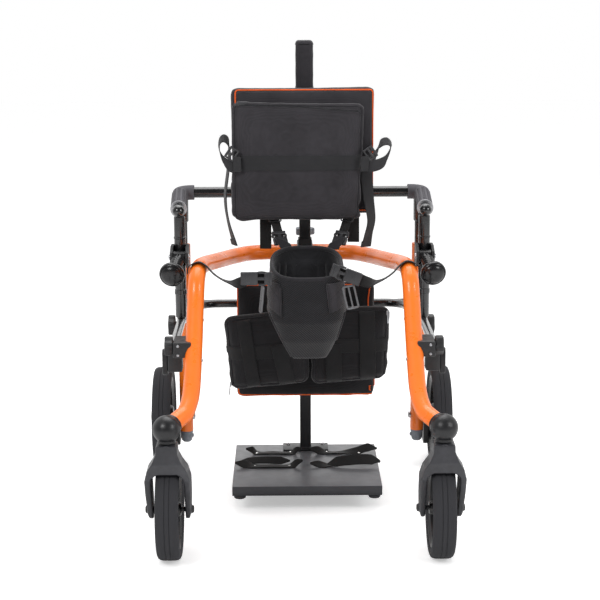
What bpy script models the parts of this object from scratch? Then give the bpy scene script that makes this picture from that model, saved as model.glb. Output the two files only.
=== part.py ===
"""Pediatric standing frame on casters, with mast, footplate, pads and pelvic harness.

Units are metres, +Z is up, -Y is the front and the origin is on the floor under the middle.
Left and right are those of a child who faces the front, so left is +X.
"""

import math

import bmesh
import bpy
from mathutils import Matrix, Vector

# Overall places
SIDES = {"left": 1.0, "right": -1.0}
GAP = 0.0003
FACET_ROOM = 1.0 / math.cos(math.pi / 10.0)
X_AXIS = Vector((1.0, 0.0, 0.0))
Y_AXIS = Vector((0.0, 1.0, 0.0))
Z_AXIS = Vector((0.0, 0.0, 1.0))

# Horseshoe tube that runs on into the two front legs, one half, back to front
MAIN_TUBE_R = 0.017
MAIN_TUBE_HALF = (
    (0.000, 0.2700, 0.5110),
    (0.105, 0.2545, 0.5110),
    (0.148, 0.2060, 0.5120),
    (0.169, 0.1600, 0.5140),
    (0.187, 0.0920, 0.5200),
    (0.208, 0.0050, 0.5280),
    (0.2130, -0.1000, 0.5375),
    (0.2160, -0.1420, 0.5210),
    (0.2175, -0.1650, 0.4840),
    (0.2190, -0.2250, 0.4025),
    (0.2215, -0.2900, 0.3280),
    (0.2300, -0.3260, 0.2975),
    (0.2390, -0.3406, 0.2898),
)
TUBE_SPAN_STEPS = 2

# Front ball, caster and front wheel
SWIVEL = Vector((0.2655, -0.3735, 0.2745))
BALL_R = 0.0270
COLLAR_R = 0.0184
COLLAR_REACH = 0.0240
STEM_R = 0.0060
STEM_HOLE_R = 0.0064
CASTER_TRAIL = 0.0450
CASTER_WHEEL_R = 0.1000
FORK_TOP = 0.2455
FORK_HALF_WIDTH = 0.0440
FORK_LEG = 0.0125
FORK_END_R = 0.0185
AXLE_R = 0.0050
RUNNING_HOLE_R = 0.0054
WHEEL_STEPS = 24
RIM_STEPS = 18

# Rear legs and wheels
REAR_LEG_X = 0.270
REAR_Y = 0.3115
REAR_LEG_R = 0.0155
REAR_LEG_LOW = 0.080
REAR_LEG_HIGH = 0.523
REAR_LEG_BORE_R = 0.0105
REAR_LEG_BORE_LOW = 0.245
REAR_WHEEL_X = 0.322
REAR_WHEEL_R = 0.115
REAR_AXLE_R = 0.0060
REAR_HOLE_R = 0.0066

# Side rail that ties the front legs to the rear legs
RAIL_R = 0.0095
RAIL_Z = 0.387
RAIL_BACK_Y = 0.290
RAIL_ARM_X = 0.264
RAIL_FRONT_Y = -0.190
POST_Y = 0.095
STUB_R = 0.0088
STUB_HIGH = 0.545

# Handle frame
BAR_R = 0.0125
BAR_Y = 0.316
BAR_Z = 0.641
BAR_CORNER_X = 0.277
BAR_CORNER_R = 0.028
ARM_FRONT = Vector((0.2655, 0.088, 0.6310))
UPRIGHT_R = 0.0095
UPRIGHT_LOW = 0.265
UPRIGHT_SLEEVE_LOW = 0.575
SLEEVE_R = 0.0168
POST_R = 0.0122
POST_BORE_R = 0.0095
POST_BORE_HIGH = 0.560

# Hand grips
GRIP_PIVOT = Vector((RAIL_ARM_X, 0.066, 0.5335))
GRIP_DISC = Vector((0.275, -0.005, 0.509))
GRIP_DISC_R = 0.027
CLEVIS_INNER = 0.0135
CLEVIS_OUTER = 0.0195

# Mast, its clamp and the footplate
MAST_X = 0.0075
MAST_Y = 0.225
MAST_HALF = 0.0125
MAST_WALL = 0.002
MAST_TOP = 0.930
MAST_FLANGE_LOW = 0.0593
MAST_FLANGE_HIGH = 0.0633
HEAD_HALF = 0.019
HEAD_LOW = 0.8805
HEAD_HIGH = 0.987
PLATE_LOW = Vector((MAST_X - 0.160, -0.060, 0.0385))
PLATE_HIGH = Vector((MAST_X + 0.160, 0.258, 0.0590))
PLATE_SHEET = 0.003
FOOT_R = 0.013
FOOT_LOW = 0.0285
CLAMP_LOW = 0.489
CLAMP_HIGH = 0.535
CLAMP_SLEEVE_HIGH = 0.549

# Knobs: centre of the star, for the left side where there are two
STAR_THICK = 0.0160
STAR_LOBES = 5
BOLT_R = 0.0040
BOLT_HOLE_R = 0.0044
FRONT_KNOB = Vector((0.2690, -0.222, 0.403))
FRONT_KNOB_R = 0.0200
REAR_KNOB_R = 0.0240
MAST_KNOB_R = 0.0225
MAST_KNOB_THICK = 0.0148
REAR_KNOB = Vector((0.3000, REAR_Y, 0.332))
MAST_KNOB = Vector((MAST_X, 0.2625, 0.5588))

# Front clamps and their levers
CLAMP_BLOCK_LOW = Vector((0.2450, -0.1960, 0.343))
CLAMP_BLOCK_HIGH = Vector((0.2740, -0.1600, 0.400))
LEVER_PIVOT = Vector((0.2745, -0.178, 0.362))
LEVER_THICK = 0.0110

# Pads: low and high corners
CHEST_BACK = (Vector((-0.164, 0.135, 0.604)), Vector((0.1635, 0.180, 0.898)))
CHEST_FRONT = (Vector((-0.1625, 0.075, 0.603)), Vector((0.1335, 0.105, 0.868)))
LOWER_BACK = (Vector((MAST_X - 0.160, 0.135, 0.193)), Vector((MAST_X + 0.160, 0.180, 0.470)))
KNEE_PADS = {
    "left": (Vector((0.0135, 0.055, 0.249)), Vector((0.1930, 0.103, 0.428))),
    "right": (Vector((-0.1766, 0.055, 0.2365)), Vector((0.0182, 0.103, 0.410))),
}

# Outlines seen from the front, X and Z: low right side, low left side, high left, high right
CHEST_FRONT_OUTLINE = ((-0.1560, 0.6085), (0.1300, 0.6080), (0.1380, 0.8480), (-0.1560, 0.8650))
KNEE_OUTLINES = {
    "left": ((0.0150, 0.2490), (0.1850, 0.2545), (0.1930, 0.4280), (0.0135, 0.4170)),
    "right": ((-0.1613, 0.2365), (0.0182, 0.2525), (0.0180, 0.4100), (-0.1766, 0.4015)),
}

# Harness
HARNESS_LOW = 0.340
HARNESS_LEG_TOP = 0.446
HARNESS_LEG_FOOT = {"left": 0.031, "right": 0.002}
HARNESS_THIGH = ((-0.070, 0.362), (-0.026, 0.362), (-0.004, 0.390), (0.005, HARNESS_LEG_TOP),
                 (-0.105, HARNESS_LEG_TOP), (-0.0935, 0.390))
HARNESS_WALL = 0.009
HARNESS_SEGMENTS = 24

# Webbing
WEB_THICK = 0.0020
WEB_WIDTH = 0.0250

PARTS = bpy.data.collections.new("pediatric_standing_frame")
CUTTERS = bpy.data.collections.new("cutters")


# Scene and materials

def clear_scene():
    """Remove the objects that the file opened with and link the two collections."""
    for old in list(bpy.data.objects):
        bpy.data.objects.remove(old, do_unlink=True)
    bpy.context.scene.collection.children.link(PARTS)
    bpy.context.scene.collection.children.link(CUTTERS)


def linear(channel):
    """Turn an sRGB channel from 0 to 255 into a linear value."""
    value = channel / 255.0
    return value / 12.92 if value <= 0.04045 else ((value + 0.055) / 1.055) ** 2.4


FINISHES = {
    "orange_paint": ((255, 112, 26), 0.25, 0.0),
    "black_gloss": ((26, 26, 28), 0.22, 0.0),
    "black_plastic": ((34, 34, 36), 0.45, 0.0),
    "grey_plastic": ((66, 66, 70), 0.55, 0.0),
    "plug_grey": ((122, 127, 134), 0.50, 0.0),
    "tyre_rubber": ((44, 44, 46), 0.60, 0.0),
    "rim_plastic": ((24, 24, 26), 0.35, 0.0),
    "grip_rubber": ((92, 90, 94), 0.80, 0.0),
    "steel": ((150, 152, 156), 0.30, 1.0),
    "plate_paint": ((70, 70, 74), 0.38, 0.0),
    "charcoal_fabric": ((46, 44, 48), 0.90, 0.0),
    "mesh_fabric": ((36, 36, 38), 0.85, 0.0),
    "webbing": ((40, 40, 42), 0.80, 0.0),
}


def material(finish):
    """Return the Principled material of a finish, made on first use."""
    known = bpy.data.materials.get(finish)
    if known:
        return known
    colour, roughness, metallic = FINISHES[finish]
    made = bpy.data.materials.new(finish)
    made.use_nodes = True
    shader = made.node_tree.nodes["Principled BSDF"]
    shader.inputs["Base Color"].default_value = tuple(linear(c) for c in colour) + (1.0,)
    shader.inputs["Roughness"].default_value = roughness
    shader.inputs["Metallic"].default_value = metallic
    return made


def part(name, data, finish, matrix=None):
    """Add one named sub-part with its own finish."""
    made = bpy.data.objects.new(name, data)
    PARTS.objects.link(made)
    data.materials.clear()
    data.materials.append(material(finish))
    if matrix is not None:
        made.matrix_world = matrix
    return made


def helper(name, data, matrix=None):
    """Add a cutter or a joining shape that isn't a part."""
    made = bpy.data.objects.new(name, data)
    CUTTERS.objects.link(made)
    made.hide_render = True
    made.display_type = "WIRE"
    if matrix is not None:
        made.matrix_world = matrix
    return made


def mirrored(vector, sign):
    """Put a left side place on the side that sign names."""
    return Vector((vector[0] * sign, vector[1], vector[2]))


def along(location, direction, spin=0.0):
    """Return the placement that turns local Z to a direction."""
    turn = Vector(direction).to_track_quat("Z", "Y").to_matrix().to_4x4()
    return Matrix.Translation(location) @ turn @ Matrix.Rotation(spin, 4, "Z")


def pivot(name, location, parent=None):
    """Add an empty on a joint's axis and remember where it stands."""
    empty = bpy.data.objects.new(name, None)
    PARTS.objects.link(empty)
    empty.empty_display_size = 0.02
    empty.matrix_world = Matrix.Translation(location)
    if parent:
        carry([empty], parent)
    return empty


def carry(children, parent):
    """Parent objects to a pivot and keep their places in the world."""
    bpy.context.view_layer.update()
    for child in children:
        child.parent = parent
        child.matrix_parent_inverse = parent.matrix_world.inverted()


# Meshes

def box_mesh(low, high):
    """Return a box mesh between two corners, in world places."""
    shape = bmesh.new()
    low = Vector(low)
    high = Vector(high)
    bmesh.ops.create_cube(shape, size=1.0)
    size = high - low
    centre = (high + low) / 2.0
    for vertex in shape.verts:
        vertex.co = centre + Vector(vertex.co[i] * size[i] for i in range(3))
    return finished(shape, "box")


def finished(shape, name):
    """Write a bmesh to a new mesh with its faces out."""
    bmesh.ops.recalc_face_normals(shape, faces=shape.faces)
    data = bpy.data.meshes.new(name)
    shape.to_mesh(data)
    shape.free()
    return data


def side_box(low, high, sign):
    """Return a box mesh for the side that sign names, from its left side corners."""
    first = mirrored(low, sign)
    second = mirrored(high, sign)
    return box_mesh(
        [min(a, b) for a, b in zip(first, second)],
        [max(a, b) for a, b in zip(first, second)],
    )


def profile_mesh(points, closed):
    """Return the edges of a profile given as radius and height pairs."""
    data = bpy.data.meshes.new("profile")
    count = len(points)
    edges = [(i, (i + 1) % count) for i in range(count if closed else count - 1)]
    data.from_pydata([(radius, 0.0, height) for radius, height in points], edges, [])
    return data


def screw(target, steps):
    """Turn an object's profile once round its own Z axis."""
    turn = target.modifiers.new("turn", "SCREW")
    turn.axis = "Z"
    turn.angle = math.tau
    turn.steps = steps
    turn.render_steps = steps
    turn.use_merge_vertices = True
    turn.merge_threshold = 0.00001
    turn.use_smooth_shade = True


def turned(name, points, steps, finish, matrix, closed=False):
    """Add a turned part from a profile that runs down its outer side."""
    made = part(name, profile_mesh(points, closed), finish, matrix)
    screw(made, steps)
    return made


def turned_helper(name, points, steps, matrix, closed=False):
    """Add a turned cutter or joining shape."""
    made = helper(name, profile_mesh(points, closed), matrix)
    screw(made, steps)
    return made


def rod_profile(radius, low, high):
    """Return the profile of a plain rod."""
    return ((0.0, high), (radius, high), (radius, low), (0.0, low))


def rod_helper(name, start, end, radius, steps=16):
    """Add a round cutter or joining rod between two places."""
    start = Vector(start)
    run = Vector(end) - start
    return turned_helper(name, rod_profile(radius, 0.0, run.length), steps, along(start, run))


def baked(source):
    """Turn a curve object into welded mesh data and remove the curve."""
    bpy.context.view_layer.update()
    evaluated = source.evaluated_get(bpy.context.evaluated_depsgraph_get())
    data = bpy.data.meshes.new_from_object(evaluated)
    curve = source.data
    bpy.data.objects.remove(source, do_unlink=True)
    bpy.data.curves.remove(curve)
    shape = bmesh.new()
    shape.from_mesh(data)
    bmesh.ops.remove_doubles(shape, verts=shape.verts, dist=0.00001)
    bmesh.ops.recalc_face_normals(shape, faces=shape.faces)
    shape.to_mesh(data)
    shape.free()
    return data


def tube_curve(points, radius, resolution=4):
    """Return curve data for a round tube through places in the world."""
    curve = bpy.data.curves.new("tube", "CURVE")
    curve.dimensions = "3D"
    curve.bevel_depth = radius
    curve.bevel_resolution = resolution
    curve.use_fill_caps = True
    spline = curve.splines.new("POLY")
    spline.points.add(len(points) - 1)
    for knot, place in zip(spline.points, points):
        knot.co = (*place, 1.0)
    spline.use_smooth = True
    return curve


def tube_mesh(points, radius, resolution=4):
    """Return a closed mesh of a round tube."""
    return baked(helper("tube", tube_curve(points, radius, resolution)))


def outline_mesh(points, thickness):
    """Return a closed mesh of a flat outline, extruded half each way along local Z."""
    curve = bpy.data.curves.new("outline", "CURVE")
    curve.dimensions = "2D"
    curve.fill_mode = "BOTH"
    curve.extrude = thickness / 2.0
    spline = curve.splines.new("POLY")
    spline.points.add(len(points) - 1)
    for knot, (x, y) in zip(spline.points, points):
        knot.co = (x, y, 0.0, 1.0)
    spline.use_cyclic_u = True
    return baked(helper("outline", curve))


FRONT_PLANE = Matrix(((1, 0, 0, 0), (0, 0, -1, 0), (0, 1, 0, 0), (0, 0, 0, 1)))
SIDE_PLANE = Matrix(((0, 0, 1, 0), (1, 0, 0, 0), (0, 1, 0, 0), (0, 0, 0, 1)))


def cut(target, cutter):
    """Take a cutter out of a part."""
    step = target.modifiers.new("cut", "BOOLEAN")
    step.operation = "DIFFERENCE"
    step.object = cutter


def join(target, piece):
    """Weld a joining shape to a part."""
    step = target.modifiers.new("join", "BOOLEAN")
    step.operation = "UNION"
    step.object = piece


def keep_common(target, piece):
    """Keep only what a part and another shape share."""
    step = target.modifiers.new("common", "BOOLEAN")
    step.operation = "INTERSECT"
    step.object = piece


def soften(target, width, segments=1, angle=40.0):
    """Round a part's sharp edges."""
    step = target.modifiers.new("rounding", "BEVEL")
    step.width = width
    step.segments = segments
    step.limit_method = "ANGLE"
    step.angle_limit = math.radians(angle)


# Paths

def spline_point(before, start, end, after, share):
    """Return a place on a Catmull-Rom span."""
    square = share * share
    cube = square * share
    return 0.5 * (
        2.0 * start
        + (end - before) * share
        + (2.0 * before - 5.0 * start + 4.0 * end - after) * square
        + (3.0 * start - before - 3.0 * end + after) * cube
    )


def smooth_path(knots, steps):
    """Return places along a smooth curve through the knots."""
    knots = [Vector(knot) for knot in knots]
    ends = [2.0 * knots[0] - knots[1]] + knots + [2.0 * knots[-1] - knots[-2]]
    places = []
    for i in range(1, len(ends) - 2):
        places += [spline_point(*ends[i - 1:i + 3], step / steps) for step in range(steps)]
    return places + [knots[-1]]


def bent_path(corners, radius, steps=5):
    """Return places along straight runs whose inner corners are arcs."""
    corners = [Vector(corner) for corner in corners]
    places = [corners[0]]
    for before, corner, after in zip(corners, corners[1:], corners[2:]):
        into = (before - corner).normalized()
        out = (after - corner).normalized()
        half = into.angle(out) / 2.0
        centre = corner + (into + out).normalized() * (radius / math.sin(half))
        start = corner + into * (radius / math.tan(half)) - centre
        turn = math.pi - 2.0 * half
        axis = into.cross(out).normalized()
        for step in range(steps + 1):
            swing = Matrix.Rotation(-turn * step / steps, 3, axis)
            places.append(centre + swing @ start)
    return places + [corners[-1]]


def leg_direction(sign):
    """Return the direction from a front ball's centre into the front leg."""
    return mirrored(Vector(MAIN_TUBE_HALF[-1]) - SWIVEL, sign).normalized()


def main_tube_path():
    """Return the whole orange tube, from the left ball round the back to the right one."""
    left = list(reversed(MAIN_TUBE_HALF))
    right = [mirrored(place, -1.0) for place in MAIN_TUBE_HALF[1:]]
    first, last = [mirrored(SWIVEL, sign) + leg_direction(sign) * (COLLAR_REACH + GAP)
                   for sign in (1.0, -1.0)]
    return [first] + smooth_path(left + right, TUBE_SPAN_STEPS) + [last]


# Orange frame

def make_main_tube():
    """Add the horseshoe tube with both front legs."""
    return part("main_frame_tube", tube_curve(main_tube_path(), MAIN_TUBE_R, 3), "orange_paint")


def make_front_ball(side, sign):
    """Add the ball that caps a front leg and holds the caster's swivel."""
    centre = mirrored(SWIVEL, sign)
    ball = bmesh.new()
    bmesh.ops.create_uvsphere(ball, u_segments=14, v_segments=8, radius=BALL_R)
    made = part(f"{side}_front_ball", finished(ball, "ball"), "black_gloss",
                Matrix.Translation(centre))
    end = centre + leg_direction(sign) * COLLAR_REACH
    join(made, rod_helper("collar", centre, end, COLLAR_R, 14))
    cut(made, rod_helper("leg_seat", end, end + leg_direction(sign) * 0.02, 0.022, 14))
    cut(made, rod_helper("swivel_hole", centre - Z_AXIS * 0.04, centre, STEM_HOLE_R, 12))
    return made


def make_rear_leg(side, sign):
    """Add a rear leg, bored at the top for the handle's upright and across for the axle."""
    foot = Vector((REAR_LEG_X * sign, REAR_Y, 0.0))
    made = turned(f"{side}_rear_leg", rod_profile(REAR_LEG_R, REAR_LEG_LOW, REAR_LEG_HIGH), 14,
                  "orange_paint", Matrix.Translation(foot))
    bore_low = foot + Z_AXIS * REAR_LEG_BORE_LOW
    cut(made, rod_helper("leg_bore", bore_low, foot + Z_AXIS * 0.6, REAR_LEG_BORE_R, 12))
    axle = foot + Z_AXIS * REAR_WHEEL_R
    cut(made, rod_helper("axle_hole", axle - X_AXIS * 0.03, axle + X_AXIS * 0.03, 0.0064, 12))
    knob = foot + Z_AXIS * REAR_KNOB.z
    cut(made, rod_helper("knob_hole", knob, knob + X_AXIS * 0.03 * sign, BOLT_HOLE_R, 10))
    return made


def make_leg_plug(side, sign):
    """Add the grey plug with a screw head that closes a rear leg."""
    place = Vector((REAR_LEG_X * sign, REAR_Y, 0.0))
    top = REAR_LEG_LOW - GAP
    profile = ((0.0, top), (0.0135, top), (0.0135, 0.066), (0.0115, 0.057), (0.0060, 0.053),
               (0.0, 0.053))
    made = turned(f"{side}_leg_plug", profile, 14, "plug_grey", Matrix.Translation(place))
    head = place + Z_AXIS * 0.068
    join(made, rod_helper("screw_head", head, head - X_AXIS * 0.0165 * sign, 0.0035, 8))
    return made


def make_side_rail():
    """Add the welded side rail: U tube, post stubs, struts and collars."""
    rear = Vector((0.232, RAIL_BACK_Y, RAIL_Z))
    knee = Vector((RAIL_ARM_X, POST_Y, RAIL_Z))
    front = Vector((RAIL_ARM_X, RAIL_FRONT_Y, RAIL_Z))
    half = bent_path([Vector((0.0, RAIL_BACK_Y, RAIL_Z)), rear, knee, front], 0.05)
    path = [mirrored(place, -1.0) for place in reversed(half)] + half[1:]
    made = part("side_rail", tube_mesh(path, RAIL_R, 2), "black_gloss")
    for sign in SIDES.values():
        low = Vector((RAIL_ARM_X * sign, POST_Y, RAIL_Z))
        high = Vector((RAIL_ARM_X * sign, POST_Y, STUB_HIGH))
        join(made, rod_helper("post_stub", low, high, STUB_R, 10))
        leg = Vector((REAR_LEG_X * sign, REAR_Y, RAIL_Z))
        start = Vector((0.195 * sign, RAIL_BACK_Y, RAIL_Z))
        reach = (leg - start).length - REAR_LEG_R - 0.003
        end = start + (leg - start).normalized() * reach
        join(made, rod_helper("strut", start, end, 0.0075, 8))
        collar = ((REAR_LEG_R + 0.005, 0.011), (REAR_LEG_R + 0.005, -0.011),
                  (REAR_LEG_R + GAP, -0.011), (REAR_LEG_R + GAP, 0.011))
        join(made, turned_helper("collar", collar, 14, Matrix.Translation(leg), closed=True))
    return made


def make_front_clamp(side, sign, main_cutter):
    """Add the bracket that grips a front leg and holds the rail's front end."""
    saddle = side_box((0.2240, -0.2430, 0.383), (0.2602, -0.1750, 0.4140), sign)
    made = part(f"{side}_front_clamp", saddle, "black_plastic")
    soften(made, 0.0015)
    block = helper("rail_block", side_box(CLAMP_BLOCK_LOW, CLAMP_BLOCK_HIGH, sign))
    soften(block, 0.0015)
    join(made, block)
    cut(made, main_cutter)
    socket = Vector((RAIL_ARM_X * sign, RAIL_FRONT_Y - GAP, RAIL_Z))
    cut(made, rod_helper("rail_socket", socket, socket + Y_AXIS * 0.06, RAIL_R + GAP, 14))
    knob = mirrored(FRONT_KNOB, sign)
    depth = knob - X_AXIS * 0.0235 * sign
    cut(made, rod_helper("knob_hole", depth, knob, BOLT_HOLE_R, 12))
    pin = mirrored(LEVER_PIVOT, sign)
    cut(made, rod_helper("lever_hole", pin - X_AXIS * 0.012 * sign, pin + X_AXIS * 0.01 * sign,
                         BOLT_HOLE_R, 12))
    return made


# Casters and wheels

def make_fork(side, sign):
    """Add a caster fork with its swivel stem and axle bolt."""
    swivel = mirrored(SWIVEL, sign)
    axle = Vector((swivel.x, swivel.y + CASTER_TRAIL, CASTER_WHEEL_R))
    half = ((0.0205, FORK_TOP), (0.0210, 0.2290), (0.0290, 0.2110), (0.0385, 0.1960),
            (FORK_HALF_WIDTH, 0.1740), (FORK_HALF_WIDTH, 0.1450), (0.0425, 0.0950),
            (0.0385, 0.0800), (0.0, 0.0800))
    front = [(swivel.x + x, z) for x, z in half]
    front += [(swivel.x - x, z) for x, z in reversed(half[:-1])]
    made = part(f"{side}_caster_fork", outline_mesh(front, 0.4), "grey_plastic",
                Matrix.Translation(Y_AXIS * swivel.y) @ FRONT_PLANE)
    above = FORK_TOP + 0.01
    side_view = [(-0.3945, above), (-0.3525, above), (-0.3515, 0.2240), (-0.3370, 0.1850),
                 (-0.3115, 0.1200)]
    for step in range(7):
        angle = math.radians(20.0 - 190.0 * step / 6.0)
        side_view.append((axle.y + FORK_END_R * math.cos(angle),
                          axle.z + FORK_END_R * math.sin(angle)))
    side_view += [(-0.3900, 0.1750), (-0.3990, 0.2100)]
    depth = Matrix.Translation(X_AXIS * swivel.x) @ SIDE_PLANE
    keep_common(made, helper("fork_side", outline_mesh(side_view, 0.2), depth))
    well_half = FORK_HALF_WIDTH - FORK_LEG
    well = ((0.0, well_half), (0.1000, well_half), (0.1100, 0.0200), (0.1100, -0.0200),
            (0.1000, -well_half), (0.0, -well_half))
    cut(made, turned_helper("wheel_well", well, 24, along(axle, X_AXIS)))
    stem = ((0.0, 0.2700), (STEM_R, 0.2700), (STEM_R, 0.2475), (0.0120, 0.2475),
            (0.0120, FORK_TOP - 0.002), (0.0, FORK_TOP - 0.002))
    stem_place = Matrix.Translation(Vector((swivel.x, swivel.y, 0.0)))
    join(made, turned_helper("stem", stem, 12, stem_place))
    inner = 0.0400
    outer = 0.0450
    bolt = ((0.0, outer), (0.0080, outer), (0.0080, inner), (AXLE_R, inner),
            (AXLE_R, -inner), (0.0080, -inner), (0.0080, -outer), (0.0, -outer))
    join(made, turned_helper("axle_bolt", bolt, 10, along(axle, X_AXIS)))
    return made


def make_tyre(name, centre, radius, seat, half_width, steps):
    """Add a tyre that stands on one flat facet."""
    facet = math.cos(math.pi / steps)
    outer = radius / facet
    shoulder = 0.0040
    profile = ((outer, half_width * 0.55), (outer, -half_width * 0.55),
               (outer - 0.0015, -half_width * 0.86), (outer - 0.0015 - shoulder, -half_width),
               (seat, -half_width + 0.002), (seat, half_width - 0.002),
               (outer - 0.0015 - shoulder, half_width), (outer - 0.0015, half_width * 0.86))
    return turned(name, profile, steps, "tyre_rubber", along(centre, X_AXIS, math.pi / steps),
                  closed=True)


def make_caster_wheel(side, sign):
    """Add a front wheel: tyre and rim."""
    swivel = mirrored(SWIVEL, sign)
    centre = Vector((swivel.x, swivel.y + CASTER_TRAIL, CASTER_WHEEL_R))
    tyre = make_tyre(f"{side}_caster_tyre", centre, CASTER_WHEEL_R, 0.0795, 0.0230, WHEEL_STEPS)
    web = 0.0145
    profile = ((0.0781, 0.0190), (0.0781, -0.0190), (0.0670, -0.0190), (0.0650, -web),
               (0.0160, -web), (0.0150, -0.0290), (RUNNING_HOLE_R, -0.0290),
               (RUNNING_HOLE_R, 0.0290), (0.0150, 0.0290), (0.0160, web),
               (0.0650, web), (0.0670, 0.0190))
    rim = turned(f"{side}_caster_rim", profile, RIM_STEPS, "rim_plastic",
                 along(centre, X_AXIS), closed=True)
    return [tyre, rim]


def make_rear_wheel(side, sign):
    """Add a rear wheel: tyre, and rim with its hub cap on the outside."""
    centre = Vector((REAR_WHEEL_X * sign, REAR_Y, REAR_WHEEL_R))
    outward = X_AXIS * sign
    tyre = make_tyre(f"{side}_rear_tyre", centre, REAR_WHEEL_R, 0.0925, 0.0215, WHEEL_STEPS)
    web = 0.0140
    profile = ((0.0, 0.0300), (0.0220, 0.0295), (0.0280, 0.0250), (0.0290, web),
               (0.0780, web), (0.0800, 0.0185), (0.0915, 0.0185), (0.0915, -0.0185),
               (0.0800, -0.0185), (0.0780, -web), (0.0170, -web), (0.0150, -0.0225),
               (REAR_HOLE_R, -0.0225), (REAR_HOLE_R, 0.0220), (0.0, 0.0220))
    rim = turned(f"{side}_rear_rim", profile, RIM_STEPS, "rim_plastic", along(centre, outward))
    return [tyre, rim]


def make_rear_axle(side, sign):
    """Add a rear axle bolt with its head on the inner side of the leg."""
    place = Vector((REAR_LEG_X * sign, REAR_Y, REAR_WHEEL_R))
    profile = ((0.0, 0.0735), (REAR_AXLE_R, 0.0735), (REAR_AXLE_R, -REAR_LEG_R - GAP),
               (0.0078, -REAR_LEG_R - GAP), (0.0078, -0.0195), (0.0, -0.0205))
    return turned(f"{side}_rear_axle", profile, 14, "steel", along(place, X_AXIS * sign))


def make_brake_lever(side, sign):
    """Add the foot lever that swings on the rear axle."""
    outline = [(-0.0130, 0.0), (-0.0090, 0.0090), (0.0, 0.0130), (0.0090, 0.0090),
               (0.0130, 0.0), (0.0200, -0.0400), (0.0700, -0.0520), (0.0740, -0.0600),
               (0.0700, -0.0680), (0.0120, -0.0740), (0.0020, -0.0700), (-0.0060, -0.0400)]
    thick = 0.0120
    centre = Vector(((REAR_LEG_X + REAR_LEG_R + 0.0008 + thick / 2.0) * sign, REAR_Y,
                     REAR_WHEEL_R))
    made = part(f"{side}_brake_lever", outline_mesh(outline, thick), "black_plastic",
                Matrix.Translation(centre) @ SIDE_PLANE)
    soften(made, 0.0012)
    cut(made, rod_helper("axle_hole", centre - X_AXIS * 0.02, centre + X_AXIS * 0.02,
                         REAR_HOLE_R))
    return made


# Handle frame and grips

def bar_half_path():
    """Return the left half of the handle bar, from the middle to the arm's front end."""
    corner = Vector((BAR_CORNER_X, BAR_Y, BAR_Z))
    return bent_path([Vector((0.0, BAR_Y, BAR_Z)), corner, ARM_FRONT], BAR_CORNER_R, 6)


def make_handle_bar():
    """Add the rear bar with its arms, uprights and ball ends."""
    half = bar_half_path()
    path = [mirrored(place, -1.0) for place in reversed(half)] + half[1:]
    made = part("handle_bar", tube_mesh(path, BAR_R, 3), "black_gloss")
    upright = ((0.0, BAR_Z), (BAR_R, BAR_Z), (BAR_R, UPRIGHT_SLEEVE_LOW),
               (UPRIGHT_R, UPRIGHT_SLEEVE_LOW - 0.003), (UPRIGHT_R, UPRIGHT_LOW),
               (0.0, UPRIGHT_LOW))
    for sign in SIDES.values():
        place = Matrix.Translation(Vector((REAR_LEG_X * sign, REAR_Y, 0.0)))
        join(made, turned_helper("upright", upright, 10, place))
        ball = bmesh.new()
        bmesh.ops.create_uvsphere(ball, u_segments=10, v_segments=6, radius=0.0130)
        end = mirrored(ARM_FRONT, sign) - Y_AXIS * 0.0050
        join(made, helper("end_ball", finished(ball, "ball"), Matrix.Translation(end)))
    return made


def make_arm_sleeve(side, sign):
    """Add the textured sleeve on an arm and its elbow, notched for the upright."""
    half = [mirrored(place, sign) for place in bar_half_path()]
    end = half[-1].lerp(half[-2], 0.105)
    inner_end = half[-1] + (half[-1] - half[-2]).normalized() * 0.02
    made = part(f"{side}_arm_sleeve", tube_mesh(half[1:-1] + [end], SLEEVE_R, 3),
                "grip_rubber")
    bore = [half[0].lerp(half[1], 0.80)] + half[1:-1] + [inner_end]
    cut(made, helper("sleeve_bore", tube_mesh(bore, (BAR_R + GAP) * FACET_ROOM, 3)))
    low = Vector((REAR_LEG_X * sign, REAR_Y, UPRIGHT_SLEEVE_LOW))
    high = low.copy()
    high.z = BAR_Z + GAP
    cut(made, rod_helper("upright_notch", low, high, (BAR_R + GAP) * FACET_ROOM, 10))
    return made


def make_handle_post(side, sign):
    """Add a front post, bored to slide over the rail's stub."""
    foot = Vector((RAIL_ARM_X * sign, POST_Y, 0.0))
    low = RAIL_Z + RAIL_R + GAP
    high = ARM_FRONT.z - BAR_R - 0.0008
    made = turned(f"{side}_handle_post", rod_profile(POST_R, low, high), 14, "black_gloss",
                  Matrix.Translation(foot))
    cut(made, rod_helper("post_bore", foot + Z_AXIS * 0.38, foot + Z_AXIS * POST_BORE_HIGH,
                         POST_BORE_R, 14))
    return made


def make_grip_clevis(side, sign):
    """Add the two cheeks that hold a hand grip on the post, with the pivot pin."""
    x = RAIL_ARM_X
    low_z = 0.508
    high_z = 0.555
    back = POST_Y + POST_R + GAP
    web = side_box((x - CLEVIS_OUTER, back, low_z), (x + CLEVIS_OUTER, back + 0.005, high_z), sign)
    made = part(f"{side}_grip_clevis", web, "black_plastic")
    cheek = [(back + 0.005, low_z + 0.004), (back + 0.005, high_z), (0.078, high_z),
             (0.054, 0.5450), (0.0500, 0.5335), (0.054, 0.5220), (0.078, low_z)]
    thick = CLEVIS_OUTER - CLEVIS_INNER
    for offset in (-1.0, 1.0):
        middle = x * sign + offset * (CLEVIS_INNER + thick / 2.0)
        place = Matrix.Translation(X_AXIS * middle) @ SIDE_PLANE
        join(made, helper("cheek", outline_mesh(cheek, thick), place))
    centre = mirrored(GRIP_PIVOT, sign)
    reach = X_AXIS * (CLEVIS_OUTER - 0.002)
    join(made, rod_helper("pivot_pin", centre - reach, centre + reach, BOLT_R, 12))
    return made


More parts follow.
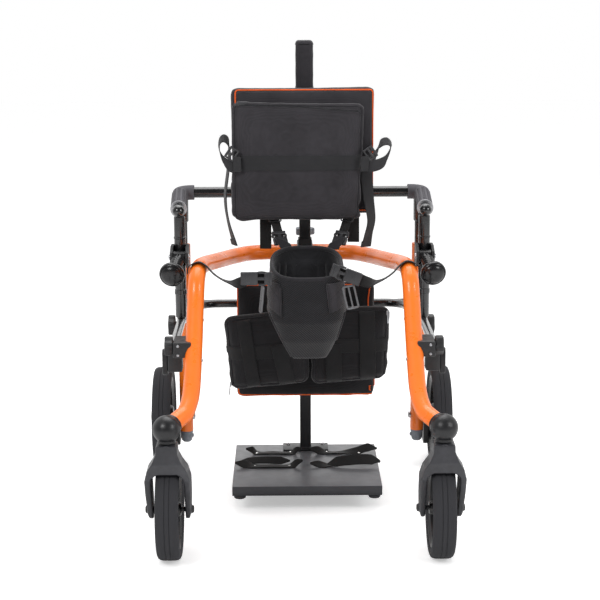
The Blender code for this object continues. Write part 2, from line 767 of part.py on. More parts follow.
def make_hand_grip(side, sign):
    """Add a hand grip: eye on the pivot, ribbed sleeve and a large domed end disc."""
    centre = mirrored(GRIP_PIVOT, sign)
    run = mirrored(GRIP_DISC, sign) - centre
    length = run.length
    top = length + 0.0110
    profile = [(0.0, top + 0.003), (0.0130, top + 0.0015), (0.0225, top - 0.003),
               (GRIP_DISC_R, top - 0.009), (GRIP_DISC_R, top - 0.017), (0.0225, top - 0.022)]
    for rib in range(5):
        height = 0.0600 - rib * 0.0085
        profile += [(0.0120, height), (0.0138, height - 0.0042)]
    profile += [(0.0105, 0.0190), (0.0105, 0.0050), (0.0, 0.0050)]
    made = turned(f"{side}_hand_grip", profile, 16, "black_gloss", along(centre, run))
    eye = X_AXIS * (CLEVIS_INNER - 0.0006)
    join(made, rod_helper("eye", centre - eye, centre + eye, 0.0130, 12))
    cut(made, rod_helper("eye_hole", centre - X_AXIS * 0.03, centre + X_AXIS * 0.03, 0.0044, 10))
    return made


# Knobs and levers

def star_outline(radius):
    """Return the outline of a star knob with round lobes."""
    points = []
    steps = STAR_LOBES * 4
    for step in range(steps):
        angle = math.tau * step / steps
        reach = radius * (1.0 - 0.16 * (0.5 - 0.5 * math.cos(STAR_LOBES * angle)))
        points.append((reach * math.cos(angle), reach * math.sin(angle)))
    return points


def make_star_knob(name, radius, centre, outward, boss, bolt, thick=STAR_THICK):
    """Add a star knob whose boss and bolt point inwards from the star's inner face."""
    made = part(name, outline_mesh(star_outline(radius), thick), "black_plastic",
                along(centre, outward))
    soften(made, 0.0020)
    inner = -thick / 2.0
    profile = ((0.0, 0.0), (0.0095, 0.0), (0.0085, inner - boss), (BOLT_R, inner - boss),
               (BOLT_R, inner - boss - bolt), (0.0, inner - boss - bolt))
    join(made, turned_helper("boss", profile, 10, along(centre, outward)))
    return made


def make_clamp_lever(side, sign):
    """Add the small lever on the outer side of a front clamp block."""
    outline = [(-0.0110, -0.0200), (-0.0070, -0.0270), (0.0070, -0.0270), (0.0110, -0.0200),
               (0.0110, 0.0180), (0.0070, 0.0250), (-0.0070, 0.0250), (-0.0110, 0.0180)]
    face = mirrored(LEVER_PIVOT, sign)
    centre = face + X_AXIS * (LEVER_THICK / 2.0) * sign
    made = part(f"{side}_clamp_lever", outline_mesh(outline, LEVER_THICK), "black_plastic",
                Matrix.Translation(centre) @ SIDE_PLANE)
    soften(made, 0.0015)
    join(made, rod_helper("pivot_pin", face - X_AXIS * 0.0110 * sign, centre, BOLT_R, 12))
    return made


# Mast and footplate

def make_mast_clamp(tube_space):
    """Add the block that holds the mast on the horseshoe, with the knob's hole on top."""
    half = 0.0175
    block = box_mesh((MAST_X - half, 0.2070, CLAMP_LOW), (MAST_X + half, 0.2920, CLAMP_HIGH))
    made = part("mast_clamp", block, "black_plastic")
    soften(made, 0.0020)
    around = MAST_HALF + 0.0025
    join(made, helper("sleeve", box_mesh((MAST_X - around, MAST_Y - around, CLAMP_LOW + 0.004),
                                         (MAST_X + around, MAST_Y + around, CLAMP_SLEEVE_HIGH))))
    cut(made, mast_space(MAST_HALF + GAP, 0.45, 0.60))
    cut(made, tube_space)
    low = Vector((MAST_KNOB.x, MAST_KNOB.y, CLAMP_HIGH - 0.0030))
    cut(made, rod_helper("knob_hole", low, low + Z_AXIS * 0.02, BOLT_HOLE_R, 12))
    return made


def mast_space(half, low, high):
    """Return a square helper along the mast."""
    return helper("mast_space", box_mesh((MAST_X - half, MAST_Y - half, low),
                                         (MAST_X + half, MAST_Y + half, high)))


def make_mast():
    """Add the square mast tube with its welded foot flange."""
    outer = box_mesh((MAST_X - MAST_HALF, MAST_Y - MAST_HALF, MAST_FLANGE_HIGH - 0.002),
                     (MAST_X + MAST_HALF, MAST_Y + MAST_HALF, MAST_TOP))
    made = part("mast_tube", outer, "black_gloss")
    flange = box_mesh((MAST_X - 0.0515, 0.2020, MAST_FLANGE_LOW),
                      (MAST_X + 0.0515, 0.2570, MAST_FLANGE_HIGH))
    join(made, helper("flange", flange))
    cut(made, mast_space(MAST_HALF - MAST_WALL, MAST_FLANGE_HIGH, 1.0))
    return made


def make_head_cover():
    """Add the padded cover that slips over the mast's head."""
    made = part("mast_head_cover",
                box_mesh((MAST_X - HEAD_HALF, MAST_Y - HEAD_HALF, HEAD_LOW),
                         (MAST_X + HEAD_HALF, MAST_Y + HEAD_HALF, HEAD_HIGH)), "charcoal_fabric")
    soften(made, 0.006, 2)
    cut(made, mast_space(MAST_HALF + GAP, HEAD_LOW - 0.02, MAST_TOP + GAP))
    return made


def make_footplate():
    """Add the folded footplate, open underneath, on its four round feet."""
    made = part("footplate", box_mesh(PLATE_LOW, PLATE_HIGH), "plate_paint")
    soften(made, 0.0010)
    sheet = Vector((PLATE_SHEET, PLATE_SHEET, 0.0))
    inner_low = PLATE_LOW + sheet - Z_AXIS * 0.02
    inner_high = PLATE_HIGH - sheet - Z_AXIS * PLATE_SHEET
    cut(made, helper("plate_hollow", box_mesh(inner_low, inner_high)))
    for x in (MAST_X - 0.144, MAST_X + 0.144):
        for y in (-0.042, 0.240):
            foot = ((0.0, PLATE_HIGH.z - 0.001), (FOOT_R, PLATE_HIGH.z - 0.001),
                    (FOOT_R, FOOT_LOW + 0.002), (FOOT_R - 0.002, FOOT_LOW), (0.0, FOOT_LOW))
            join(made, turned_helper("foot", foot, 12, Matrix.Translation((x, y, 0.0))))
    return made


def make_carriage(name, low_z, high_z):
    """Add the bracket that carries a pad on the mast."""
    pad_back = CHEST_BACK[1].y + 0.0005
    made = part(name, box_mesh((MAST_X - 0.0200, 0.2000, low_z), (MAST_X + 0.0200, 0.2450, high_z)),
                "black_plastic")
    join(made, helper("plate", box_mesh((MAST_X - 0.0550, pad_back, low_z - 0.01),
                                        (MAST_X + 0.0550, 0.2030, high_z + 0.01))))
    cut(made, mast_space(MAST_HALF + GAP, low_z - 0.05, high_z + 0.05))
    return made


# Pads

def cushion_place(share, half, crown, draw, edge):
    """Return a cushion's corner place from shares of -1 to 1 across, deep and up."""
    across, deep, up = share
    round_across = 1.0 - across ** 2
    round_up = 1.0 - up ** 2
    swell = (1.0 - across ** 4) * (1.0 - up ** 4)
    x = across * (half.x - draw * round_up)
    z = up * (half.z - draw * round_across)
    y = deep * (half.y * edge + half.y * (1.0 - edge) * min(1.0, 3.0 * swell) + crown * swell)
    return Vector((x, y, z))


def fit_outline(place, half, centre, outline):
    """Move a cushion place from its plain rectangle into an outline of four corners."""
    across = (place.x / half.x + 1.0) / 2.0
    up = (place.z / half.z + 1.0) / 2.0
    low_right, low_left, high_left, high_right = [Vector(corner) for corner in outline]
    spot = low_right.lerp(low_left, across).lerp(high_right.lerp(high_left, across), up)
    return Vector((spot.x - centre.x, place.y, spot.y - centre.z))


def make_cushion(name, corners, finish, crown=0.003, draw=0.004, edge=0.72, cells=4, outline=None):
    """Add a padded cushion with a crown, drawn-in sides and thinner edges."""
    low, high = corners
    centre = (low + high) / 2.0
    half = (high - low) / 2.0
    half.y -= crown
    shape = bmesh.new()
    bmesh.ops.create_cube(shape, size=2.0)
    faces_edges = [e for e in shape.edges if e.verts[0].co.y * e.verts[1].co.y > 0.0]
    bmesh.ops.subdivide_edges(shape, edges=faces_edges, cuts=cells - 1, use_grid_fill=True)
    for vertex in shape.verts:
        vertex.co = cushion_place(vertex.co, half, crown, draw, edge)
        if outline:
            vertex.co = fit_outline(vertex.co, half, centre, outline)
    made = part(name, finished(shape, name), finish, Matrix.Translation(centre))
    rounding = made.modifiers.new("rounding", "SUBSURF")
    rounding.levels = 1
    rounding.render_levels = 1
    return made


# Harness and webbing

def between(values, share):
    """Read a list of evenly spaced values at a share from 0 to 1."""
    spot = share * (len(values) - 1)
    index = min(int(spot), len(values) - 2)
    return values[index] + (values[index + 1] - values[index]) * (spot - index)


def make_harness():
    """Add the pelvic harness: a padded bowl with a slanted rim and two leg openings."""
    half_widths = (0.076, 0.080, 0.083, 0.068, 0.042)
    fronts = (-0.141, -0.143, -0.138, -0.112, -0.070)
    backs = (0.056, 0.050, 0.038, 0.012, -0.020)
    shape = bmesh.new()
    rings = []
    ring_count = 8
    for level in range(ring_count + 1):
        share = level / ring_count
        width = between(half_widths, share)
        front = between(fronts, share)
        back = between(backs, share)
        ring = []
        for step in range(HARNESS_SEGMENTS):
            angle = math.tau * step / HARNESS_SEGMENTS
            cosine = math.cos(angle)
            sine = math.sin(angle)
            x = MAST_X + width * math.copysign(abs(cosine) ** 0.62, cosine)
            y = (front + back) / 2.0 + (back - front) / 2.0 * math.copysign(abs(sine) ** 0.62, sine)
            rim = 0.5365 + 0.0175 * sine
            ring.append(shape.verts.new((x, y, rim + (HARNESS_LOW - rim) * share)))
        rings.append(ring)
    for upper, lower in zip(rings, rings[1:]):
        for i in range(HARNESS_SEGMENTS):
            j = (i + 1) % HARNESS_SEGMENTS
            shape.faces.new((upper[i], lower[i], lower[j], upper[j]))
    shape.faces.new(rings[-1])
    made = part("pelvic_harness", finished(shape, "harness"), "mesh_fabric")
    wall = made.modifiers.new("wall", "SOLIDIFY")
    wall.thickness = HARNESS_WALL
    wall.offset = 1.0
    for side, sign in SIDES.items():
        leg = [(0.076, HARNESS_LEG_TOP), (0.200, HARNESS_LEG_TOP), (0.200, 0.280),
               (HARNESS_LEG_FOOT[side], 0.280)]
        outline = [(MAST_X + x * sign, z) for x, z in leg]
        cut(made, helper("leg_opening", outline_mesh(outline, 0.6), FRONT_PLANE))
    cut(made, helper("thigh_opening", outline_mesh(HARNESS_THIGH, 0.1),
                     Matrix.Translation(X_AXIS * (MAST_X + 0.085)) @ SIDE_PLANE))
    return made


def ribbon_mesh(knots, steps):
    """Return an open strip through knots of place, across direction and width."""
    places = smooth_path([knot[0] for knot in knots], steps)
    acrosses = smooth_path([Vector(knot[1]) for knot in knots], steps)
    shape = bmesh.new()
    rows = []
    for place, across in zip(places, acrosses):
        side = across.normalized() * (WEB_WIDTH / 2.0)
        rows.append((shape.verts.new(place - side), shape.verts.new(place + side)))
    for (a, b), (c, d) in zip(rows, rows[1:]):
        shape.faces.new((a, b, d, c))
    return finished(shape, "ribbon")


def thicken(target):
    """Give a strip the thickness of webbing."""
    wall = target.modifiers.new("wall", "SOLIDIFY")
    wall.thickness = WEB_THICK
    wall.offset = 0.0


def buckle_mesh(centre, run, across, size):
    """Return a box for a buckle: size is its length along the run, its width and its depth."""
    along_run = Vector(run).normalized()
    depth = along_run.cross(Vector(across)).normalized()
    width = depth.cross(along_run)
    shape = bmesh.new()
    bmesh.ops.create_cube(shape, size=1.0)
    for vertex in shape.verts:
        x, y, z = vertex.co
        vertex.co = Vector(centre) + along_run * x * size[0] + width * y * size[1] \
            + depth * z * size[2]
    return finished(shape, "buckle")


def make_chest_strap(side, sign):
    """Add a chest strap: from the front pad out in a loop, back behind it and down as a tail."""
    up = (0.0, 0.0, 1.0)
    routes = {
        "left": [((0.1320, 0.0705, 0.728), up), ((0.1540, 0.0685, 0.728), up),
                 ((0.1780, 0.0830, 0.738), (0.15, 0.1, 1.0)), ((0.1870, 0.1040, 0.763), (0.2, 0.3, 1.0)),
                 ((0.1770, 0.1190, 0.773), (0.6, 0.1, 1.0)), ((0.1590, 0.1195, 0.752), (1.0, 0.0, 0.6)),
                 ((0.1415, 0.1190, 0.715), (1.0, 0.1, 0.0)), ((0.1445, 0.1185, 0.655), (0.9, 0.4, 0.0)),
                 ((0.1508, 0.1175, 0.606), (0.7, 0.7, 0.0)), ((0.1444, 0.1160, 0.573), (0.7, 0.7, 0.0)),
                 ((0.1390, 0.1140, 0.546), (0.8, 0.5, 0.0))],
        "right": [((0.1330, 0.0705, 0.728), up), ((0.1520, 0.0690, 0.728), up),
                  ((0.1670, 0.0830, 0.738), (0.15, 0.1, 1.0)), ((0.1755, 0.1050, 0.769), (0.2, 0.3, 1.0)),
                  ((0.1690, 0.1190, 0.780), (0.6, 0.1, 1.0)), ((0.1610, 0.1195, 0.756), (1.0, 0.0, 0.6)),
                  ((0.1590, 0.1190, 0.715), (0.25, 1.0, 0.0)), ((0.1655, 0.1185, 0.655), (0.25, 1.0, 0.0)),
                  ((0.1600, 0.1170, 0.605), (0.25, 1.0, 0.0)), ((0.1455, 0.1120, 0.552), (0.45, 0.9, 0.0))],
    }
    knots = [(mirrored(place, sign), mirrored(across, sign)) for place, across in routes[side]]
    made = part(f"{side}_chest_strap", ribbon_mesh(knots, 3), "webbing")
    thicken(made)
    near, far = {"left": (0.1330, 0.1580), "right": (0.1370, 0.1610)}[side]
    join(made, helper("ladder_lock", side_box((near, 0.0640, 0.7380), (far, 0.0735, 0.7695), sign)))
    tab = side_box((near - 0.0070, 0.0660, 0.7140), (near + 0.0080, 0.0730, 0.7475), sign)
    join(made, helper("folded_end", tab))
    return made


def make_shoulder_strap(side, sign, high_x, low_x, band_x, band_low):
    """Add a strap from the chest front pad to the harness rim, with a buckle and a loose band."""
    lean = (1.0, 0.0, 0.45)
    route = [((high_x + 0.004, 0.1200, 0.650), (1.0, 0.0, 0.1)), ((high_x, 0.1160, 0.612), lean),
             ((low_x, 0.0740, 0.5560), lean)]
    knots = [(mirrored(place, sign), mirrored(across, sign)) for place, across in route]
    made = part(f"{side}_shoulder_strap", ribbon_mesh(knots, 3), "webbing")
    thicken(made)
    top = mirrored(route[1][0], sign)
    foot = mirrored(route[2][0], sign)
    buckle = buckle_mesh(top.lerp(foot, 0.60), foot - top, mirrored(lean, sign),
                         (0.030, 0.031, 0.009))
    join(made, helper("buckle", buckle))
    down = [((band_x * sign, 0.1205, 0.650), X_AXIS), ((band_x * sign, 0.1200, 0.600), X_AXIS),
            ((band_x * sign, 0.1190, band_low), X_AXIS)]
    band = helper("band", ribbon_mesh(down, 2))
    thicken(band)
    join(made, band)
    return made


def make_side_strap(side, sign):
    """Add a strap over a frame bend to the harness's side, with buckle and hanging adjuster."""
    up = (0.0, 0.1, 1.0)
    flat = (0.0, 1.0, 0.2)
    route = [((0.2365, -0.1165, 0.5290), flat), ((0.2335, -0.1190, 0.5450), flat),
             ((0.2142, -0.1180, 0.5545), flat), ((0.1990, -0.1200, 0.5480), flat),
             ((0.1830, -0.1250, 0.5320), flat), ((0.1660, -0.1310, 0.5210), (0.0, 1.0, 0.5)),
             ((0.1480, -0.1370, 0.5150), (0.0, 0.5, 1.0)), ((0.1280, -0.1400, 0.5170), up),
             ((0.1000, -0.1400, 0.5200), up), ((0.0740, -0.1360, 0.5210), up)]
    knots = [(mirrored(place, sign), mirrored(across, sign)) for place, across in route]
    made = part(f"{side}_side_strap", ribbon_mesh(knots, 2), "webbing")
    thicken(made)
    buckle = side_box((0.0680, -0.1480, 0.5070), (0.1300, -0.1370, 0.5350), sign)
    join(made, helper("buckle", buckle))
    near, far = {"left": (0.0800, 0.1080), "right": (0.0760, 0.0875)}[side]
    adjuster = side_box((near, -0.1450, 0.4540), (far, -0.1400, 0.5100), sign)
    join(made, helper("adjuster", adjuster))
    return made


def make_foot_strap(side, sign):
    """Add one foot's straps: a toe band and a heel band on a flat strip."""
    low = PLATE_HIGH.z + GAP + WEB_THICK / 2.0
    made = None
    for y, height in ((0.168, 0.016), (0.078, 0.020)):
        route = []
        for x, rise in ((0.034, 0.0), (0.048, 0.25), (0.080, 1.0), (0.112, 0.25), (0.126, 0.0)):
            route.append((Vector((MAST_X + x * sign, y, low + rise * height)), Y_AXIS))
        mesh = ribbon_mesh(route, 3)
        if made:
            band = helper("band", mesh)
            thicken(band)
            join(made, band)
        else:
            made = part(f"{side}_foot_strap", mesh, "webbing")
            thicken(made)
    flat = side_box((0.0300, 0.0700, PLATE_HIGH.z + GAP), (0.0400, 0.1760, low + 0.0012), sign)
    join(made, helper("flat_strip", flat, Matrix.Translation(X_AXIS * MAST_X)))
    return made


# Assembly

def build_casters():
    """Add both casters on their swivel pivots."""
    for side, sign in SIDES.items():
        swivel = pivot(f"{side}_swivel_axis", mirrored(SWIVEL, sign))
        axle_place = mirrored(SWIVEL, sign) + Y_AXIS * CASTER_TRAIL
        axle_place.z = CASTER_WHEEL_R
        axle = pivot(f"{side}_caster_axle_axis", axle_place, swivel)
        carry([make_fork(side, sign)], swivel)
        carry(make_caster_wheel(side, sign), axle)


def build_rear_wheels():
    """Add both rear legs with wheels, axles, plugs, brake levers and knobs."""
    for side, sign in SIDES.items():
        axle_place = Vector((REAR_WHEEL_X * sign, REAR_Y, REAR_WHEEL_R))
        make_rear_leg(side, sign)
        make_leg_plug(side, sign)
        make_rear_axle(side, sign)
        carry(make_rear_wheel(side, sign), pivot(f"{side}_rear_axle_axis", axle_place))
        make_brake_lever(side, sign)
        centre = mirrored(REAR_KNOB, sign)
        boss = REAR_KNOB.x - STAR_THICK / 2.0 - (REAR_LEG_X + REAR_LEG_R + 0.0005)
        make_star_knob(f"{side}_rear_knob", REAR_KNOB_R, centre, X_AXIS * sign, boss, 0.0048)


def build_front():
    """Add the main tube, balls, rail and the clamps on the tube."""
    make_main_tube()
    clearance = helper("main_tube_space", tube_mesh(main_tube_path(), MAIN_TUBE_R + 0.0005, 3))
    make_mast_clamp(clearance)
    make_side_rail()
    for side, sign in SIDES.items():
        make_front_ball(side, sign)
        make_front_clamp(side, sign, clearance)
        make_clamp_lever(side, sign)
        make_star_knob(f"{side}_front_knob", FRONT_KNOB_R, mirrored(FRONT_KNOB, sign),
                       X_AXIS * sign, 0.0002, 0.0140)


def build_handle():
    """Add the handle frame with its grips."""
    frame = pivot("handle_slide", (0.0, BAR_Y, BAR_Z))
    carry([make_handle_bar()], frame)
    for side, sign in SIDES.items():
        pieces = [make_arm_sleeve(side, sign), make_handle_post(side, sign),
                  make_grip_clevis(side, sign)]
        carry(pieces, frame)
        grip = pivot(f"{side}_grip_axis", mirrored(GRIP_PIVOT, sign), frame)
        carry([make_hand_grip(side, sign)], grip)


def build_mast():
    """Add the mast, footplate, pads, harness and webbing."""
    boss = MAST_KNOB.z - MAST_KNOB_THICK / 2.0 - CLAMP_HIGH - GAP
    make_star_knob("mast_knob", MAST_KNOB_R, MAST_KNOB, Z_AXIS, boss, 0.0027, MAST_KNOB_THICK)
    mast = pivot("mast_slide", (MAST_X, MAST_Y, 0.0))
    chest = pivot("chest_slide", (MAST_X, MAST_Y, 0.73), mast)
    lower = pivot("lower_slide", (MAST_X, MAST_Y, 0.33), mast)
    carry([make_mast(), make_head_cover(), make_footplate(), make_harness()], mast)
    carry([make_carriage("chest_carriage", 0.700, 0.760),
           make_cushion("chest_back_pad", CHEST_BACK, "charcoal_fabric"),
           make_cushion("chest_front_pad", CHEST_FRONT, "charcoal_fabric", 0.002,
                        outline=CHEST_FRONT_OUTLINE)], chest)
    carry([make_carriage("lower_carriage", 0.300, 0.360),
           make_cushion("lower_back_pad", LOWER_BACK, "charcoal_fabric")], lower)
    shoulders = {"left": (0.100, 0.077, 0.112, 0.556), "right": (0.060, 0.044, 0.079, 0.542)}
    for side, sign in SIDES.items():
        pad = make_cushion(f"{side}_knee_pad", KNEE_PADS[side], "charcoal_fabric", 0.004, 0.005,
                           outline=KNEE_OUTLINES[side])
        carry([pad], lower)
        carry([make_chest_strap(side, sign)], chest)
        straps = [make_shoulder_strap(side, sign, *shoulders[side]), make_side_strap(side, sign),
                  make_foot_strap(side, sign)]
        carry(straps, mast)


def shade_parts():
    """Shade the round meshes smooth and keep their real corners sharp."""
    for made in PARTS.objects:
        if made.type == "MESH":
            made.data.shade_smooth()
            made.data.set_sharp_from_angle(angle=math.radians(35.0))


def main():
    """Build the whole standing frame."""
    clear_scene()
    build_front()
    build_rear_wheels()
    build_casters()
    build_handle()
    build_mast()
    shade_parts()
    bpy.context.view_layer.update()


main()
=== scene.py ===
"""Looks of a wheeled standing frame for a child: finishes, soft goods, webbing, hardware, light.

Everything is in metres in the part's own frame: +Z is up, -Y is the open front and +X is the
wearer's left. Each sub-assembly is a class, each finish a small frozen dataclass.
"""
import logging
import math
from dataclasses import dataclass, field
from enum import Enum
from typing import Any, Callable, Dict, Iterable, List, Mapping, Optional, Sequence, Tuple

import bmesh
import bpy
from mathutils import Matrix, Vector, noise
from mathutils.bvhtree import BVHTree


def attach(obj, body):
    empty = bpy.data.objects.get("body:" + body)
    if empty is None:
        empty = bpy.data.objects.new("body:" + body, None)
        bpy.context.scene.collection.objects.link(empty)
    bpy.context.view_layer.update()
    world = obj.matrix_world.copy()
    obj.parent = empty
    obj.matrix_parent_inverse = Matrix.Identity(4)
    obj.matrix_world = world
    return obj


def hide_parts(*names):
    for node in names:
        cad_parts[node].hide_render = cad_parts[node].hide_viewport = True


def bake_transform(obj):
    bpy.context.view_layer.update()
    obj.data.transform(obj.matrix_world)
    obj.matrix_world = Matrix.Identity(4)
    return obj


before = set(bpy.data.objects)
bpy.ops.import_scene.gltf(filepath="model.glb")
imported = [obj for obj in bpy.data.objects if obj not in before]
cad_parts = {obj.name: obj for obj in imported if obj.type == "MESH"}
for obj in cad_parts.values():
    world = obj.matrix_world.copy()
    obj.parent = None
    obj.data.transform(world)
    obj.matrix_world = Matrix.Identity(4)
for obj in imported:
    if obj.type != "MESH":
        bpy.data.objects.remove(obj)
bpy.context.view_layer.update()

LOG = logging.getLogger("standing_frame")
SIDES = {"left": 1.0, "right": -1.0}
X_AXIS = Vector((1.0, 0.0, 0.0))
Y_AXIS = Vector((0.0, 1.0, 0.0))
Z_AXIS = Vector((0.0, 0.0, 1.0))
MAST_X = 0.0075
MAST_Y = 0.225
STITCH_SIZE = (0.0022, 0.0007, 0.00045)
STITCH_PITCH = 0.0032
WELT_PITCH = 0.0034
WELD_DISTANCE = 0.00002
TRACE_STEP = 0.004
TAPER_RUN = 0.02
BAND_CELLS = 6

Triple = Sequence[float]
Colour = Tuple[float, float, float]
Knot = Tuple[Triple, Triple]
Pair = Tuple[float, float]
Spot = Pair
Outline = Sequence[Spot]
Piece = bpy.types.Object
Shape = bmesh.types.BMesh
Ring = List[bmesh.types.BMVert]
Socket = bpy.types.NodeSocket


# Shader graphs

class ShaderGraph:
    """The nodes of one material, built round a Principled shader."""

    def __init__(self, name: str, colour: Colour, roughness: float) -> None:
        """Start a material.

        Args:
            name: The material's name.
            colour: Its base colour, linear.
            roughness: Its roughness.
        """
        self.material = bpy.data.materials.new(name)
        self.material.use_nodes = True
        self.tree = self.material.node_tree
        self.tree.nodes.clear()
        self.shader = self.add("ShaderNodeBsdfPrincipled")
        output = self.add("ShaderNodeOutputMaterial")
        self.tree.links.new(self.shader.outputs["BSDF"], output.inputs["Surface"])
        self.set("Base Color", (*colour, 1.0))
        self.set("Roughness", roughness)

    def add(self, kind: str, **values: object) -> bpy.types.Node:
        """Add a node.

        Args:
            kind: The node's type.
            **values: Properties of the node, or inputs where no property has the name.

        Returns:
            The node.
        """
        node = self.tree.nodes.new(kind)
        for name, value in values.items():
            if hasattr(node, name):
                setattr(node, name, value)
            else:
                node.inputs[name.replace("_", " ")].default_value = value
        return node

    def set(self, socket: str, value: object) -> None:
        """Set one of the shader's own sockets."""
        self.shader.inputs[socket].default_value = value

    def plug(self, source: Socket, target: Socket) -> None:
        """Link two sockets."""
        self.tree.links.new(source, target)

    def place(self) -> Socket:
        """Return the object's own coordinates, in metres."""
        return self.add("ShaderNodeTexCoord").outputs["Object"]

    def strip(self) -> Socket:
        """Return a webbing's own coordinates: metres along and across it."""
        return self.add("ShaderNodeTexCoord").outputs["UV"]

    def cloud(self, where: Socket, scale: float, detail: float = 2.0) -> Socket:
        """Return soft noise of a scale.

        Args:
            where: The coordinates.
            scale: Its scale.
            detail: Its detail.

        Returns:
            The noise.
        """
        node = self.add("ShaderNodeTexNoise", Scale=scale, Detail=detail)
        self.plug(where, node.inputs["Vector"])
        return node.outputs["Fac"]

    def bands(self, where: Socket, pitch: float, direction: str) -> Socket:
        """Return stripes of a pitch in metres across a direction X, Y or Z.

        Args:
            where: The coordinates.
            pitch: The distance from stripe to stripe.
            direction: X, Y or Z.

        Returns:
            The stripes, 0 to 1.
        """
        node = self.add("ShaderNodeTexWave", bands_direction=direction, Scale=math.tau / 20.0 / pitch)
        self.plug(where, node.inputs["Vector"])
        return node.outputs["Fac"]

    def cells(self, where: Socket, scale: float) -> Socket:
        """Return the distance to the nearest point of a cell pattern.

        Args:
            where: The coordinates.
            scale: The cells in a metre.

        Returns:
            The distance.
        """
        node = self.add("ShaderNodeTexVoronoi", Scale=scale, Randomness=0.35)
        self.plug(where, node.inputs["Vector"])
        return node.outputs["Distance"]

    def maths(self, operation: str, first: object, second: object) -> Socket:
        """Return the result of a maths operation on two sockets or numbers.

        Args:
            operation: The operation's name.
            first: A socket or number.
            second: A socket or number.

        Returns:
            The result.
        """
        node = self.add("ShaderNodeMath", operation=operation)
        for socket, value in zip(node.inputs, (first, second)):
            if isinstance(value, Socket):
                self.plug(value, socket)
            else:
                socket.default_value = value
        return node.outputs[0]

    def span(self, value: Socket, low: float, high: float,
             start: float = 0.0, end: float = 1.0) -> Socket:
        """Return a value moved from the range start to end onto low to high.

        Args:
            value: The value.
            low: What start becomes.
            high: What end becomes.
            start: Where the range starts.
            end: Where it ends.

        Returns:
            The moved value.
        """
        node = self.add("ShaderNodeMapRange")
        self.plug(value, node.inputs["Value"])
        for name, number in (("From Min", start), ("From Max", end), ("To Min", low), ("To Max", high)):
            node.inputs[name].default_value = number
        return node.outputs["Result"]

    def tint(self, share: Socket, low: Colour, high: Colour) -> None:
        """Colour the shader between two colours by a share.

        Args:
            share: The share of the second colour.
            low: The first colour.
            high: The second colour.
        """
        node = self.add("ShaderNodeMix", data_type="RGBA")
        self.plug(share, node.inputs["Factor"])
        node.inputs[6].default_value = (*low, 1.0)
        node.inputs[7].default_value = (*high, 1.0)
        self.plug(node.outputs[2], self.shader.inputs["Base Color"])

    def relief(self, height: Socket, distance: float, strength: float = 1.0) -> None:
        """Raise the surface by a height in metres times a distance.

        Args:
            height: The height.
            distance: How far a height of 1 rises, in metres.
            strength: How strongly it shows.
        """
        node = self.add("ShaderNodeBump", Distance=distance, Strength=strength)
        self.plug(height, node.inputs["Height"])
        self.plug(node.outputs["Normal"], self.shader.inputs["Normal"])


def shade(colour: Colour, factor: float) -> Colour:
    """Return a colour times a factor."""
    return tuple(min(1.0, channel * factor) for channel in colour)


# Finishes

@dataclass(frozen=True)
class Finish:
    """A surface finish that makes one material, once."""

    name: str
    colour: Colour
    roughness: float = 0.5

    def material(self) -> bpy.types.Material:
        """Return the finish's material, made at its first use."""
        return bpy.data.materials.get(self.name) or self.build()

    def build(self) -> bpy.types.Material:
        """Return a new material.

        Returns:
            The material.
        """
        graph = ShaderGraph(self.name, self.colour, self.roughness)
        self.paint(graph, graph.place())
        return graph.material

    def paint(self, graph: ShaderGraph, where: Socket) -> None:
        """Add the nodes that make this kind of surface to a graph."""
        raise NotImplementedError


@dataclass(frozen=True)
class Paint(Finish):
    """Coated metal: a gloss coat with a trace of orange peel and faint random blotches of tone."""

    coat: float = 0.4
    peel: float = 0.00012

    def paint(self, graph: ShaderGraph, where: Socket) -> None:
        """Add the paint's nodes.

        Args:
            graph: The graph that they go into.
            where: The object's coordinates.
        """
        graph.set("Coat Weight", self.coat)
        graph.set("Coat Roughness", 0.14)
        graph.tint(graph.cloud(where, 9.0, 4.0), shade(self.colour, 0.93), shade(self.colour, 1.06))
        rough = graph.span(graph.cloud(where, 40.0, 4.0), self.roughness - 0.05,
                           self.roughness + 0.08, 0.3, 0.7)
        graph.plug(rough, graph.shader.inputs["Roughness"])
        graph.relief(graph.cloud(where, 180.0, 1.0), self.peel, 0.12)


@dataclass(frozen=True)
class Moulded(Finish):
    """Moulded plastic with a spark-eroded grain, paler where it is handled."""

    grain: float = 900.0
    depth: float = 0.00022

    def paint(self, graph: ShaderGraph, where: Socket) -> None:
        """Add the plastic's nodes.

        Args:
            graph: The graph that they go into.
            where: The object's coordinates.
        """
        wear = graph.maths("MULTIPLY", graph.cloud(where, 14.0, 5.0), graph.cloud(where, 120.0, 2.0))
        graph.tint(graph.span(wear, 0.0, 1.0, 0.12, 0.42), shade(self.colour, 0.88),
                   shade(self.colour, 1.22))
        rough = graph.span(wear, self.roughness + 0.06, self.roughness - 0.08, 0.12, 0.42)
        graph.plug(rough, graph.shader.inputs["Roughness"])
        graph.relief(graph.cloud(where, self.grain, 1.0), self.depth, 0.45)


@dataclass(frozen=True)
class Rubber(Finish):
    """Tyre and grip rubber: dull, with fine pimples and dusty patches."""

    pimple: float = 620.0

    def paint(self, graph: ShaderGraph, where: Socket) -> None:
        """Add the rubber's nodes.

        Args:
            graph: The graph that they go into.
            where: The object's coordinates.
        """
        dust = graph.cloud(where, 26.0, 6.0)
        graph.tint(graph.span(dust, 0.0, 1.0, 0.35, 0.75), shade(self.colour, 0.85),
                   shade(self.colour, 1.45))
        graph.plug(graph.span(dust, self.roughness - 0.06, self.roughness + 0.1, 0.3, 0.7),
                   graph.shader.inputs["Roughness"])
        graph.relief(graph.cells(where, self.pimple), 0.0003, 0.5)


